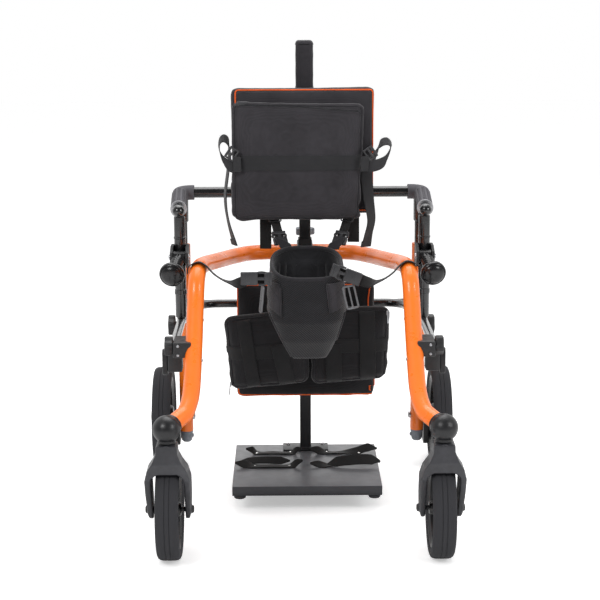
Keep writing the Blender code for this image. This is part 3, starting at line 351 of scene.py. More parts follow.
@dataclass(frozen=True)
class Steel(Finish):
    """Plated steel with fine brush marks."""

    def paint(self, graph: ShaderGraph, where: Socket) -> None:
        """Add the steel's nodes.

        Args:
            graph: The graph that they go into.
            where: The object's coordinates.
        """
        graph.set("Metallic", 1.0)
        stretch = graph.add("ShaderNodeMapping")
        stretch.inputs["Scale"].default_value = (1.0, 14.0, 1.0)
        graph.plug(where, stretch.inputs["Vector"])
        marks = graph.cloud(stretch.outputs["Vector"], 160.0, 3.0)
        graph.plug(graph.span(marks, self.roughness - 0.08, self.roughness + 0.14, 0.3, 0.7),
                   graph.shader.inputs["Roughness"])
        graph.tint(marks, shade(self.colour, 0.85), shade(self.colour, 1.12))
        graph.relief(marks, 0.00006, 0.4)


@dataclass(frozen=True)
class Cloth(Finish):
    """Plain woven cloth over foam: crossing threads, slubs and a soft sheen."""

    pitch: float = 0.0011
    sheen: float = 0.25
    slub: float = 1.35

    def paint(self, graph: ShaderGraph, where: Socket) -> None:
        """Add the cloth's nodes.

        Args:
            graph: The graph that they go into.
            where: The object's coordinates.
        """
        warp = graph.bands(where, self.pitch, "X")
        weft = graph.bands(where, self.pitch * 1.12, "Z")
        depth = graph.bands(where, self.pitch, "Y")
        weave = graph.maths("MULTIPLY", graph.maths("ADD", warp, depth), weft)
        patches = graph.cloud(where, 18.0, 6.0)
        threads = graph.maths("ADD", graph.maths("MULTIPLY", weave, 0.32), patches)
        graph.tint(graph.span(threads, 0.0, 1.0, 0.35, 1.0), shade(self.colour, 0.72),
                   shade(self.colour, self.slub))
        graph.set("Sheen Weight", self.sheen)
        graph.set("Sheen Roughness", 0.45)
        graph.set("Specular IOR Level", 0.25)
        wrinkles = graph.maths("MULTIPLY", graph.cloud(where, 46.0, 4.0), 2.2)
        graph.relief(graph.maths("ADD", weave, wrinkles), 0.00032, 0.55)


@dataclass(frozen=True)
class SpacerMesh(Finish):
    """Knitted spacer mesh: slanted ribs of small holes in a springy face, with painted shade in the
    holes.
    """

    holes: float = 420.0
    rib: float = 0.0034

    def paint(self, graph: ShaderGraph, where: Socket) -> None:
        """Add the mesh's nodes.

        Args:
            graph: The graph that they go into.
            where: The object's coordinates.
        """
        lean = graph.add("ShaderNodeMapping")
        lean.inputs["Rotation"].default_value = (0.0, math.radians(38.0), 0.0)
        graph.plug(where, lean.inputs["Vector"])
        ribs = graph.bands(lean.outputs["Vector"], self.rib, "Z")
        holes = graph.cells(where, self.holes)
        knit = graph.maths("MULTIPLY", graph.span(holes, 0.35, 1.0, 0.05, 0.45), ribs)
        patches = graph.cloud(where, 22.0, 4.0)
        face = graph.maths("ADD", graph.maths("MULTIPLY", knit, 0.75),
                           graph.maths("MULTIPLY", patches, 0.35))
        # The holes are tinted far darker than the face, as painted shade inside them; the patches are
        # random tone.
        graph.tint(face, shade(self.colour, 0.35), shade(self.colour, 1.9))
        graph.set("Sheen Weight", 0.2)
        graph.set("Sheen Roughness", 0.5)
        graph.set("Specular IOR Level", 0.2)
        graph.relief(knit, 0.0008, 0.8)


@dataclass(frozen=True)
class Webbing(Finish):
    """Woven webbing: cross ribs between two firmer edges, read from the strip's own UV map."""

    rib: float = 0.0017

    def paint(self, graph: ShaderGraph, where: Socket) -> None:
        """Add the webbing's nodes.

        Args:
            graph: The graph that they go into.
            where: The object's coordinates.
        """
        strip = graph.strip()
        ribs = graph.bands(strip, self.rib, "X")
        threads = graph.bands(strip, self.rib * 1.6, "Y")
        weave = graph.maths("ADD", graph.maths("MULTIPLY", ribs, threads),
                            graph.maths("MULTIPLY", ribs, 0.5))
        dirt = graph.cloud(where, 34.0, 5.0)
        worn = graph.maths("ADD", graph.maths("MULTIPLY", weave, 0.4),
                           graph.maths("MULTIPLY", dirt, 0.6))
        graph.tint(worn, shade(self.colour, 0.65), shade(self.colour, 1.5))
        graph.set("Sheen Weight", 0.18)
        graph.set("Specular IOR Level", 0.3)
        graph.relief(weave, 0.0003, 0.65)


class Look(Enum):
    """The finishes of this frame."""

    ORANGE = Paint("orange_powder_coat", (1.0, 0.19, 0.0135), 0.3, 0.25, 0.00004)
    BLACK_TUBE = Paint("black_tube_paint", (0.0065, 0.0065, 0.0075), 0.24, 0.8, 0.00001)
    PLATE = Paint("footplate_paint", (0.098, 0.098, 0.107), 0.36, 0.2, 0.0001)
    # A darker copy of the footplate paint for the faces that don't face up: painted shade on the
    # plate's sides.
    PLATE_SIDE_SHADE = Paint("footplate_side_painted_shade", (0.03, 0.03, 0.035), 0.45, 0.05, 0.0001)
    MAST = Paint("mast_satin_paint", (0.013, 0.013, 0.0145), 0.38, 0.15)
    BLACK_PLASTIC = Moulded("black_moulding", (0.0165, 0.0165, 0.018), 0.46)
    GREY_PLASTIC = Moulded("fork_moulding", (0.034, 0.034, 0.039), 0.4, 700.0)
    KNUCKLE = Moulded("knuckle_moulding", (0.012, 0.012, 0.0135), 0.34, 1100.0, 0.00008)
    RING = Moulded("adjuster_moulding", (0.115, 0.117, 0.124), 0.38, 1200.0, 0.00008)
    BUCKLE = Moulded("buckle_moulding", (0.03, 0.03, 0.033), 0.36, 1200.0, 0.00012)
    GREY_PLUG = Moulded("grey_moulding", (0.195, 0.212, 0.238), 0.48)
    RIM = Moulded("rim_moulding", (0.0105, 0.0105, 0.0118), 0.3, 1100.0, 0.0001)
    TYRE = Rubber("tyre_rubber", (0.01, 0.01, 0.0112), 0.36)
    GRIP = Rubber("grip_rubber", (0.012, 0.012, 0.0135), 0.44, 480.0)
    GRIP_BALL = Moulded("grip_moulding", (0.0085, 0.0085, 0.0095), 0.25, 1400.0, 0.00004)
    SCREW = Steel("plated_steel", (0.52, 0.52, 0.54), 0.3)
    RIVET = Steel("nickel_rivet", (0.8, 0.79, 0.77), 0.22)
    PAD = Cloth("pad_cloth", (0.03, 0.0278, 0.032), 0.88)
    LOWER_PAD = Cloth("lower_pad_cloth", (0.012, 0.0112, 0.0128), 0.9)
    PAD_DARK = Cloth("pad_side_cloth", (0.0195, 0.0185, 0.0215), 0.9, 0.001, 0.15)
    LINING = Cloth("harness_lining", (0.0105, 0.0105, 0.0122), 0.92, 0.0016, 0.35, 1.7)
    PIPING = Cloth("orange_piping", (0.9, 0.125, 0.014), 0.6, 0.0009, 0.1, 1.1)
    MESH = SpacerMesh("harness_mesh", (0.0105, 0.0105, 0.0122), 0.85)
    WEB = Webbing("black_webbing", (0.0225, 0.0225, 0.0245), 0.82)
    DARK_WEB = Webbing("dark_webbing", (0.0075, 0.0068, 0.007), 0.84)
    LOWER_WEB = Webbing("lower_pad_webbing", (0.0088, 0.0085, 0.0095), 0.84)
    WEB_PANEL = Webbing("panel_webbing", (0.018, 0.018, 0.02), 0.84)
    THREAD = Cloth("sewing_thread", (0.0125, 0.012, 0.0132), 0.85, 0.0006, 0.0, 1.1)

    @property
    def material(self) -> bpy.types.Material:
        """The material of this finish."""
        return self.value.material()


# Meshes

def add_object(name: str, data: bpy.types.ID) -> Piece:
    """Return a new object that is in the scene.

    Args:
        name: The object's name.
        data: Its mesh, lamp or camera.

    Returns:
        The object.
    """
    made = bpy.data.objects.new(name, data)
    bpy.context.scene.collection.objects.link(made)
    return made


def repaint(piece: Piece, material: bpy.types.Material) -> None:
    """Give a piece one material that all its faces use.

    Args:
        piece: The piece.
        material: The material.
    """
    piece.data.materials.clear()
    piece.data.materials.append(material)
    piece.data.polygons.foreach_set("material_index", [0] * len(piece.data.polygons))


def new_piece(name: str, shape: Shape, look: Look, corner: float = 35.0) -> Piece:
    """Make an object of a mesh under construction.

    Args:
        name: The piece's name.
        shape: The mesh, which is used up.
        look: Its finish.
        corner: The angle in degrees above which an edge stays sharp.

    Returns:
        The object, at the origin.
    """
    mesh = bpy.data.meshes.new(name)
    shape.to_mesh(mesh)
    shape.free()
    mesh.materials.append(look.material)
    mesh.shade_smooth()
    mesh.set_sharp_from_angle(angle=math.radians(corner))
    return add_object(name, mesh)


def dress(piece: Piece, body: str, slot: str, *nodes: str) -> Piece:
    """Put a finished piece on its body and in place of CAD nodes.

    Args:
        piece: The piece.
        body: The body that it rides on.
        slot: The record's material slot; not used.
        *nodes: The CAD nodes that it stands for.

    Returns:
        The piece.
    """
    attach(piece, body)
    if nodes:
        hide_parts(*nodes)
    LOG.info("%s rides on %s, %d faces", piece.name, body, len(piece.data.polygons))
    return piece


def dress_across(piece: Piece, node: str, bodies: Sequence[str]) -> None:
    """Put a finished strap in place of its CAD node, with its placing baked into its mesh.

    Args:
        piece: The strap.
        node: The CAD node that it stands for.
        bodies: The bodies at its start and its end, which are only named in the log.
    """
    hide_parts(node)
    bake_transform(piece)
    LOG.info("%s bends from %s to %s, %d faces", piece.name, *bodies, len(piece.data.polygons))


def absorb(shape: Shape, other: Shape) -> None:
    """Add one mesh under construction to another and free it.

    Args:
        shape: The mesh that grows.
        other: The mesh that is used up.
    """
    mesh = bpy.data.meshes.new("absorbed")
    other.to_mesh(mesh)
    other.free()
    shape.from_mesh(mesh)
    bpy.data.meshes.remove(mesh)


def frame_along(centre: Triple, run: Triple, up: Triple = (0.0, 0.0, 1.0)) -> Matrix:
    """Return a matrix whose local X is the run and whose local Z is as near up as can be.

    Args:
        centre: The matrix's place.
        run: The direction of local X.
        up: The direction that local Z is near.

    Returns:
        The matrix.
    """
    along = Vector(run).normalized()
    side = Vector(up).cross(along)
    side = side.normalized() if side.length > 1e-6 else along.orthogonal().normalized()
    top = along.cross(side)
    turn = Matrix((along, side, top)).transposed().to_4x4()
    return Matrix.Translation(Vector(centre)) @ turn


def axis_place(centre: Triple, axis: Triple) -> Matrix:
    """Return a matrix that turns local Z onto an axis through a centre."""
    turn = Z_AXIS.rotation_difference(Vector(axis))
    return Matrix.Translation(Vector(centre)) @ turn.to_matrix().to_4x4()


def block(size: Triple, place: Matrix, bevel: float = 0.0, segments: int = 2) -> Shape:
    """Return a box of a size with rounded edges.

    Args:
        size: Its three lengths.
        place: The matrix that places it.
        bevel: The radius of its edges.
        segments: The steps of each rounded edge.

    Returns:
        The mesh.
    """
    shape = bmesh.new()
    bmesh.ops.create_cube(shape, size=1.0)
    bmesh.ops.scale(shape, vec=Vector(size), verts=shape.verts)
    if bevel:
        bmesh.ops.bevel(shape, geom=shape.edges[:], offset=bevel, segments=segments, profile=0.5,
                        affect="EDGES")
    shape.transform(place)
    return shape


def corner_box(low: Triple, high: Triple, bevel: float = 0.0, segments: int = 2) -> Shape:
    """Return a box between two corners with rounded edges."""
    first, last = Vector(low), Vector(high)
    return block(last - first, Matrix.Translation((first + last) / 2.0), bevel, segments)


def neighbours(items: List[Any], closed: bool) -> List[Tuple[Any, Any]]:
    """Return each item with the next, and the last with the first where they close."""
    return list(zip(items, items[1:] + items[:1] if closed else items[1:]))


def bridge(shape: Shape, upper: Ring, lower: Ring, steps: int) -> None:
    """Join two rings of vertices with faces.

    Args:
        shape: The mesh under construction.
        upper: The first ring; one vertex alone is a pole.
        lower: The second ring, the same way.
        steps: The number of faces.
    """
    for i in range(steps):
        j = (i + 1) % steps
        corners = list(dict.fromkeys((upper[i % len(upper)], lower[i % len(lower)],
                                      lower[j % len(lower)], upper[j % len(upper)])))
        if len(corners) > 2:
            shape.faces.new(corners)


def revolve(profile: Outline, place: Matrix, steps: int = 64, closed: bool = False) -> Shape:
    """Return a turned shape.

    Args:
        profile: Radius and height pairs down the outer side; a radius of 0 is a pole.
        place: The matrix that places local Z as the axis.
        steps: The steps round it.
        closed: Whether the profile is a ring that closes on itself.

    Returns:
        The mesh, with faces outwards.
    """
    shape = bmesh.new()
    rows = []
    for radius, height in profile:
        if radius <= 0.0:
            rows.append([shape.verts.new((0.0, 0.0, height))])
            continue
        rows.append([shape.verts.new((radius * math.cos(math.tau * i / steps),
                                      radius * math.sin(math.tau * i / steps), height))
                     for i in range(steps)])
    for upper, lower in neighbours(rows, closed):
        bridge(shape, upper, lower, steps)
    bmesh.ops.recalc_face_normals(shape, faces=shape.faces)
    shape.transform(place)
    return shape


def round_edges(piece: Piece, width: float, angle: float, segments: int = 2) -> None:
    """Add a bevel of a width to the edges that turn by more than an angle in degrees.

    Args:
        piece: The piece.
        width: The bevel's width.
        angle: The angle in degrees.
        segments: The steps of each rounded edge.
    """
    edge = piece.modifiers.new("edge", "BEVEL")
    edge.width = width
    edge.segments = segments
    edge.limit_method = "ANGLE"
    edge.angle_limit = math.radians(angle)


def thickened(piece: Piece, thick: float, rounding: float) -> Piece:
    """Return a sheet given a thickness about its middle, with a share of it as edge rounding.

    Args:
        piece: The sheet.
        thick: The thickness.
        rounding: The share of the thickness that the edges are rounded by.

    Returns:
        The piece.
    """
    wall = piece.modifiers.new("wall", "SOLIDIFY")
    wall.thickness = thick
    wall.offset = 0.0
    round_edges(piece, thick * rounding, 50.0)
    return bake(piece)


def refined(node: str, look: Look, bevel: float = 0.0008, segments: int = 2) -> Piece:
    """Return a copy of a CAD node with its flat faces joined and its edges rounded.

    Args:
        node: The CAD node.
        look: The finish.
        bevel: The radius of the edges.
        segments: The steps of each rounded edge.

    Returns:
        The new piece.
    """
    shape = bmesh.new()
    shape.from_mesh(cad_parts[node].data)
    bmesh.ops.remove_doubles(shape, verts=shape.verts, dist=WELD_DISTANCE)
    bmesh.ops.dissolve_limit(shape, angle_limit=math.radians(1.5), verts=shape.verts, edges=shape.edges)
    piece = new_piece(f"{node}_finished", shape, look)
    round_edges(piece, bevel, 40.0, segments)
    return bake(piece)


def moulded(node: str, look: Look, voxel: float = 0.0015, softness: int = 9) -> Piece:
    """Return a copy of a CAD node with the flowing corners of a moulded part.

    Args:
        node: The CAD node.
        look: The finish.
        voxel: The size of the grid that the copy is made on.
        softness: How often its corners are smoothed.

    Returns:
        The new piece.
    """
    shape = bmesh.new()
    shape.from_mesh(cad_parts[node].data)
    bmesh.ops.remove_doubles(shape, verts=shape.verts, dist=WELD_DISTANCE)
    piece = new_piece(f"{node}_finished", shape, look)
    grid = piece.modifiers.new("grid", "REMESH")
    grid.mode = "VOXEL"
    grid.voxel_size = voxel
    soft = piece.modifiers.new("soft", "SMOOTH")
    soft.factor = 0.5
    soft.iterations = softness
    repaint(bake(piece), look.material)
    piece.data.shade_smooth()
    return piece


def bake(piece: Piece) -> Piece:
    """Turn a piece's modifiers into its mesh.

    Args:
        piece: The piece.

    Returns:
        The same piece.
    """
    graph = bpy.context.evaluated_depsgraph_get()
    mesh = bpy.data.meshes.new_from_object(piece.evaluated_get(graph))
    piece.modifiers.clear()
    old = piece.data
    piece.data = mesh
    bpy.data.meshes.remove(old)
    return piece


# Paths

def mirrored(place: Triple, sign: float) -> Vector:
    """Return a place on the side of the sign."""
    return Vector((place[0] * sign, place[1], place[2]))


def smooth_path(knots: Iterable[Triple], steps: int) -> List[Vector]:
    """Return places along a Catmull-Rom curve through the knots.

    Args:
        knots: The knots.
        steps: The steps from one knot to the next.

    Returns:
        The places.
    """
    points = [Vector(knot) for knot in knots]
    ends = [2.0 * points[0] - points[1]] + points + [2.0 * points[-1] - points[-2]]
    places = []
    for a, b, c, d in zip(ends, ends[1:], ends[2:], ends[3:]):
        for step in range(steps):
            t = step / steps
            places.append(0.5 * (2.0 * b + (c - a) * t + (2.0 * a - 5.0 * b + 4.0 * c - d) * t ** 2
                                 + (3.0 * b - a - 3.0 * c + d) * t ** 3))
    return places + [points[-1]]


def bent_path(corners: Iterable[Triple], radius: float, steps: int = 14) -> List[Vector]:
    """Return places along straight runs whose inner corners are arcs of a radius.

    Args:
        corners: The corners.
        radius: The radius of the bends.
        steps: The steps of each bend.

    Returns:
        The places.
    """
    points = [Vector(corner) for corner in corners]
    places = [points[0]]
    for before, corner, after in zip(points, points[1:], points[2:]):
        into = (before - corner).normalized()
        out = (after - corner).normalized()
        half = into.angle(out) / 2.0
        centre = corner + (into + out).normalized() * (radius / math.sin(half))
        start = corner + into * (radius / math.tan(half)) - centre
        axis = into.cross(out).normalized()
        turn = math.pi - 2.0 * half
        places += [centre + Matrix.Rotation(-turn * step / steps, 3, axis) @ start
                   for step in range(steps + 1)]
    return places + [points[-1]]


def ring_path(centre: Triple, axis: Triple, radius: float, count: int) -> List[Vector]:
    """Return places round a circle.

    Args:
        centre: The circle's centre.
        axis: Its axis.
        radius: Its radius.
        count: The number of places.

    Returns:
        The places.
    """
    place, turns = axis_place(centre, axis), [math.tau * i / count for i in range(count)]
    return [place @ Vector((radius * math.cos(turn), radius * math.sin(turn), 0.0)) for turn in turns]


# Geometry nodes for what repeats or follows a path

class Item(Enum):
    """The small shapes that a repeat can set out."""

    STITCH = "stitch"
    RIVET = "rivet"
    BLOCK = "block"


class PathTree:
    """A geometry node tree that works on a path given as a chain of edges."""

    def __init__(self, name: str) -> None:
        """Start a tree that takes a path.

        Args:
            name: The tree's name.
        """
        self.tree = bpy.data.node_groups.new(name, "GeometryNodeTree")
        self.tree.interface.new_socket("Geometry", in_out="INPUT", socket_type="NodeSocketGeometry")
        self.tree.interface.new_socket("Geometry", in_out="OUTPUT", socket_type="NodeSocketGeometry")
        self.source = self.tree.nodes.new("NodeGroupInput")
        self.curve = self.add("GeometryNodeMeshToCurve")
        self.wire(self.source.outputs["Geometry"], self.curve.inputs["Mesh"])

    def add(self, kind: str, **settings: object) -> bpy.types.Node:
        """Add a node with its properties set.

        Args:
            kind: The node's type.
            **settings: Its properties.

        Returns:
            The node.
        """
        node = self.tree.nodes.new(kind)
        for name, value in settings.items():
            setattr(node, name, value)
        return node

    def wire(self, source: Socket, target: Socket) -> None:
        """Link two sockets."""
        self.tree.links.new(source, target)

    def size(self, name: str, kind: str = "NodeSocketFloat") -> Socket:
        """Add a named input and return its socket.

        Args:
            name: The input's name.
            kind: Its type.

        Returns:
            The socket.
        """
        self.tree.interface.new_socket(name, in_out="INPUT", socket_type=kind)
        return self.source.outputs[name]

    def close(self, result: Socket) -> None:
        """End the tree in Realize Instances and Set Material.

        Args:
            result: The geometry that the tree has made.
        """
        real = self.add("GeometryNodeRealizeInstances")
        smooth = self.add("GeometryNodeSetShadeSmooth")
        finish = self.add("GeometryNodeSetMaterial")
        self.wire(result, real.inputs["Geometry"])
        self.wire(real.outputs["Geometry"], smooth.inputs["Geometry"])
        self.wire(smooth.outputs["Geometry"], finish.inputs["Geometry"])
        self.wire(self.size("Finish", "NodeSocketMaterial"), finish.inputs["Material"])
        self.wire(finish.outputs["Geometry"], self.add("NodeGroupOutput").inputs["Geometry"])

    def run(self, name: str, path: bpy.types.Mesh, look: Look, **values: object) -> Piece:
        """Run the tree on a path.

        Args:
            name: The name of the new piece.
            path: The chain of edges.
            look: The finish.
            **values: The tree's named inputs.

        Returns:
            A piece with a plain mesh.
        """
        piece = add_object(name, path)
        modifier = piece.modifiers.new("path", "NODES")
        modifier.node_group = self.tree
        values["Finish"] = look.material
        for item in self.tree.interface.items_tree:
            if item.in_out == "INPUT" and item.name in values:
                modifier[item.identifier] = values[item.name]
        repaint(bake(piece), look.material)
        return piece


def tube_tree() -> PathTree:
    """Return the tree that sweeps a round section along a path.

    Returns:
        The tree.
    """
    tree = PathTree("tube_along_path")
    section = tree.add("GeometryNodeCurvePrimitiveCircle")
    sweep = tree.add("GeometryNodeCurveToMesh")
    sweep.inputs["Fill Caps"].default_value = True
    tree.wire(tree.size("Radius"), section.inputs["Radius"])
    tree.wire(tree.size("Sides", "NodeSocketInt"), section.inputs["Resolution"])
    tree.wire(tree.curve.outputs["Curve"], sweep.inputs["Curve"])
    tree.wire(section.outputs["Curve"], sweep.inputs["Profile Curve"])
    tree.close(sweep.outputs["Mesh"])
    return tree


def repeat_tree(item: Item) -> PathTree:
    """Return the tree that sets out one small shape along a path, Z up from the surface.

    Args:
        item: The small shape.

    Returns:
        The tree.
    """
    tree = PathTree(f"{item.value}_along_path")
    spread = tree.add("GeometryNodeResampleCurve", mode="LENGTH")
    tree.wire(tree.curve.outputs["Curve"], spread.inputs["Curve"])
    tree.wire(tree.size("Spacing"), spread.inputs["Length"])
    up = tree.add("GeometryNodeInputNamedAttribute", data_type="FLOAT_VECTOR")
    up.inputs["Name"].default_value = "up"
    turn = tree.add("FunctionNodeAxesToRotation", primary_axis="Z", secondary_axis="X")
    tree.wire(up.outputs["Attribute"], turn.inputs["Primary Axis"])
    tree.wire(tree.add("GeometryNodeInputTangent").outputs["Tangent"], turn.inputs["Secondary Axis"])
    if item is Item.STITCH:
        shape = tree.add("GeometryNodeMeshIcoSphere")
        shape.inputs["Radius"].default_value = 0.5
    elif item is Item.RIVET:
        shape = tree.add("GeometryNodeMeshUVSphere")
        shape.inputs["Segments"].default_value = 20
        shape.inputs["Rings"].default_value = 10
        shape.inputs["Radius"].default_value = 0.5
    else:
        shape = tree.add("GeometryNodeMeshCube")
    jitter = tree.add("FunctionNodeRandomValue", data_type="FLOAT")
    jitter.inputs[2].default_value = 0.94
    jitter.inputs[3].default_value = 1.06
    tree.wire(tree.size("Seed", "NodeSocketInt"), jitter.inputs["Seed"])
    scale = tree.add("ShaderNodeVectorMath", operation="SCALE")
    tree.wire(tree.size("Size", "NodeSocketVector"), scale.inputs[0])
    tree.wire(jitter.outputs[1], scale.inputs["Scale"])
    stand = tree.add("GeometryNodeInstanceOnPoints")
    tree.wire(spread.outputs["Curve"], stand.inputs["Points"])
    tree.wire(shape.outputs["Mesh"], stand.inputs["Instance"])
    tree.wire(turn.outputs["Rotation"], stand.inputs["Rotation"])
    tree.wire(scale.outputs["Vector"], stand.inputs["Scale"])
    tree.close(stand.outputs["Instances"])
    return tree


TREES: Dict[str, PathTree] = {}


def tree_for(name: str, make: Callable[[], PathTree]) -> PathTree:
    """Return a tree that is made at its first use.

    Args:
        name: The tree's name.
        make: What makes it.

    Returns:
        The tree.
    """
    if name not in TREES:
        TREES[name] = make()
    return TREES[name]


def chain(places: Sequence[Vector], ups: Optional[Sequence[Vector]] = None,
          closed: bool = False) -> bpy.types.Mesh:
    """Return a chain of edges through places, with the way up kept at each.

    Args:
        places: The places.
        ups: The way up at each of them.
        closed: Whether the last is joined to the first.

    Returns:
        The mesh of edges.
    """
    count = len(places)
    edges = [(i, i + 1) for i in range(count - 1)] + ([(count - 1, 0)] if closed else [])
    mesh = bpy.data.meshes.new("chain")
    mesh.from_pydata([tuple(place) for place in places], edges, [])
    if ups:
        kept = mesh.attributes.new("up", "FLOAT_VECTOR", "POINT")
        for value, up in zip(kept.data, ups):
            value.vector = Vector(up).normalized()
    return mesh


def tube(name: str, places: Sequence[Vector], radius: float, look: Look, sides: int = 32,
         closed: bool = False) -> Piece:
    """Return a round tube along a path, made with geometry nodes.

    Args:
        name: The piece's name.
        places: The path.
        radius: The tube's radius.
        look: The finish.
        sides: The corners of its section.
        closed: Whether the path closes on itself.

    Returns:
        The piece.
    """
    made = tree_for("tube", tube_tree).run(name, chain(places, closed=closed), look, Radius=radius,
                                           Sides=sides)
    made.data.set_sharp_from_angle(angle=math.radians(40.0))
    return made


def repeat(name: str, item: Item, places: Sequence[Vector], ups: Sequence[Vector], spacing: float,
           size: Triple, look: Look, closed: bool = False, seed: int = 7) -> Piece:
    """Return small shapes set out along a path with geometry nodes.

    Args:
        name: The piece's name.
        item: The shape.
        places: The path.
        ups: The way out of the surface at each place.
        spacing: The distance from one shape to the next.
        size: Its length along the path, width and height.
        look: The finish.
        closed: Whether the path closes on itself.
        seed: The seed of the small differences in size.

    Returns:
        The piece.
    """
    tree = tree_for(item.value, lambda: repeat_tree(item))
    return tree.run(name, chain(places, ups, closed), look, Spacing=spacing, Size=tuple(size),
                    Seed=seed)


def merge(name: str, pieces: Sequence[Piece]) -> Piece:
    """Join pieces of one finish into one piece.

    Args:
        name: The new piece's name.
        pieces: The pieces, which are used up.

    Returns:
        The new piece.
    """
    shape = bmesh.new()
    for piece in pieces:
        shape.from_mesh(piece.data)
    first = pieces[0].data.materials[0]
    made = bpy.data.meshes.new(name)
    shape.to_mesh(made)
    shape.free()
    made.shade_smooth()
    made.set_sharp_from_angle(angle=math.radians(35.0))
    for piece in pieces:
        bpy.data.objects.remove(piece)
    joined = add_object(name, made)
    repaint(joined, first)
    return joined


# Rigid sub-assemblies

def screw_head(name: str, centre: Triple, axis: Triple, radius: float, look: Look) -> Piece:
    """Return a dome-headed screw with a hexagon socket.

    Args:
        name: The piece's name.
        centre: The middle of the face that it stands on.
        axis: The way that it points out.
        radius: Its radius.
        look: Its finish.

    Returns:
        The piece.
    """
    tall = radius * 0.62
    profile = [(0.0, tall * 0.45), (radius * 0.46, tall * 0.45), (radius * 0.52, tall),
               (radius * 0.78, tall * 0.92), (radius * 0.95, tall * 0.6), (radius, tall * 0.2),
               (radius, 0.0), (0.0, 0.0)]
    return new_piece(name, revolve(profile, axis_place(centre, axis), 24), look, 30.0)


def screws(name: str, body: str, spots: Iterable[Knot], radius: float, look: Look = Look.SCREW,
           slot: str = "steel") -> None:
    """Build several screw heads as one piece and dress it.

    Args:
        name: The piece's name.
        body: The body that it rides on.
        spots: For each head, the middle of its foot and the way that it points out.
        radius: The radius of a head.
        look: The finish.
        slot: The record's material slot.
    """
    dress(merge(name, [screw_head("screw", *spot, radius, look) for spot in spots]), body, slot)


@dataclass
class OrangeFrame:
    """The orange horseshoe with its front legs, the rear legs, balls and plugs."""

    tube_radius: float = 0.017
    swivel: Triple = (0.2655, -0.3735, 0.2745)
    ball_radius: float = 0.027
    rear_x: float = 0.27
    rear_y: float = 0.3115
    screw_places: Tuple[Triple, ...] = ((0.203, -0.19, 0.449), (0.2035, -0.245, 0.379))
    half: Tuple[Triple, ...] = (
        (0.0, 0.27, 0.511), (0.105, 0.2545, 0.511), (0.148, 0.206, 0.512),
        (0.169, 0.16, 0.514), (0.187, 0.092, 0.52), (0.208, 0.005, 0.528),
        (0.213, -0.1, 0.5375), (0.216, -0.142, 0.521), (0.2175, -0.165, 0.484),
        (0.219, -0.225, 0.4025), (0.2215, -0.29, 0.328), (0.23, -0.326, 0.2975),
        (0.239, -0.3406, 0.2898))

    def leg_run(self, sign: float) -> Vector:
        """Return the direction from a front ball into its leg."""
        return mirrored(Vector(self.half[-1]) - Vector(self.swivel), sign).normalized()

    def build_horseshoe(self) -> None:
        """Build the bent tube from one front ball round the back to the other."""
        left = [Vector(place) for place in reversed(self.half)]
        right = [mirrored(place, -1.0) for place in self.half[1:]]
        ends = [mirrored(self.swivel, sign) + self.leg_run(sign) * 0.0243 for sign in (1.0, -1.0)]
        path = [ends[0]] + smooth_path(left + right, 10) + [ends[1]]
        dress(tube("horseshoe_tube", path, self.tube_radius, Look.ORANGE, 48), "frame", "orange_paint",
              "main_frame_tube")

    def build_front_balls(self) -> None:
        """Build the balls and the collars that take the legs."""
        for side, sign in SIDES.items():
            centre = mirrored(self.swivel, sign)
            shape = bmesh.new()
            bmesh.ops.create_uvsphere(shape, u_segments=48, v_segments=32, radius=self.ball_radius)
            bmesh.ops.translate(shape, vec=centre, verts=shape.verts)
            collar = [(0.0, 0.0243), (0.0172, 0.0243), (0.0184, 0.0235), (0.0184, 0.0), (0.0, 0.0)]
            absorb(shape, revolve(collar, axis_place(centre, self.leg_run(sign)), 48))
            low = [(0.0, -0.0185), (0.017, -0.0185), (0.0176, -0.0255), (0.016, -0.0268),
                   (0.0, -0.0268)]
            absorb(shape, revolve(low, Matrix.Translation(centre), 40))
            dress(new_piece(f"{side}_front_knuckle", shape, Look.KNUCKLE), "frame", "black_gloss",
                  f"{side}_front_ball")

    def build_rear_legs(self) -> None:
        """Build the rear legs with their grey plugs and screws."""
        for side, sign in SIDES.items():
            foot = Vector((self.rear_x * sign, self.rear_y, 0.0))
            profile = [(0.0098, 0.523), (0.0143, 0.523), (0.0155, 0.5218), (0.0155, 0.0812),
                       (0.015, 0.08), (0.0098, 0.08)]
            leg = new_piece(f"{side}_rear_leg_tube",
                            revolve(profile, Matrix.Translation(foot), 48, True), Look.ORANGE)
            dress(leg, "frame", "orange_paint", f"{side}_rear_leg")
            plug = [(0.0, 0.0797), (0.015, 0.0797), (0.015, 0.076), (0.0137, 0.0745), (0.0137, 0.066),
                    (0.0118, 0.057), (0.008, 0.0535), (0.0, 0.053)]
            shape = revolve(plug, Matrix.Translation(foot), 40)
            head = [(0.0, 0.0165), (0.003, 0.0165), (0.0046, 0.015), (0.0046, 0.01), (0.0, 0.01)]
            absorb(shape, revolve(head, axis_place(foot + Z_AXIS * 0.068, X_AXIS * -sign), 24))
            dress(new_piece(f"{side}_leg_foot_plug", shape, Look.GREY_PLUG), "frame", "plug_grey",
                  f"{side}_leg_plug")

    def build_screws(self) -> None:
        """Build the screw heads on the tube's inner side."""
        for side, sign in SIDES.items():
            spots = [(mirrored(place, sign), (-sign, -0.35, 0.0)) for place in self.screw_places]
            screws(f"{side}_tube_screws", "frame", spots, 0.0036)

    def build(self) -> None:
        """Build the whole orange frame."""
        self.build_horseshoe()
        self.build_front_balls()
        self.build_rear_legs()
        self.build_screws()


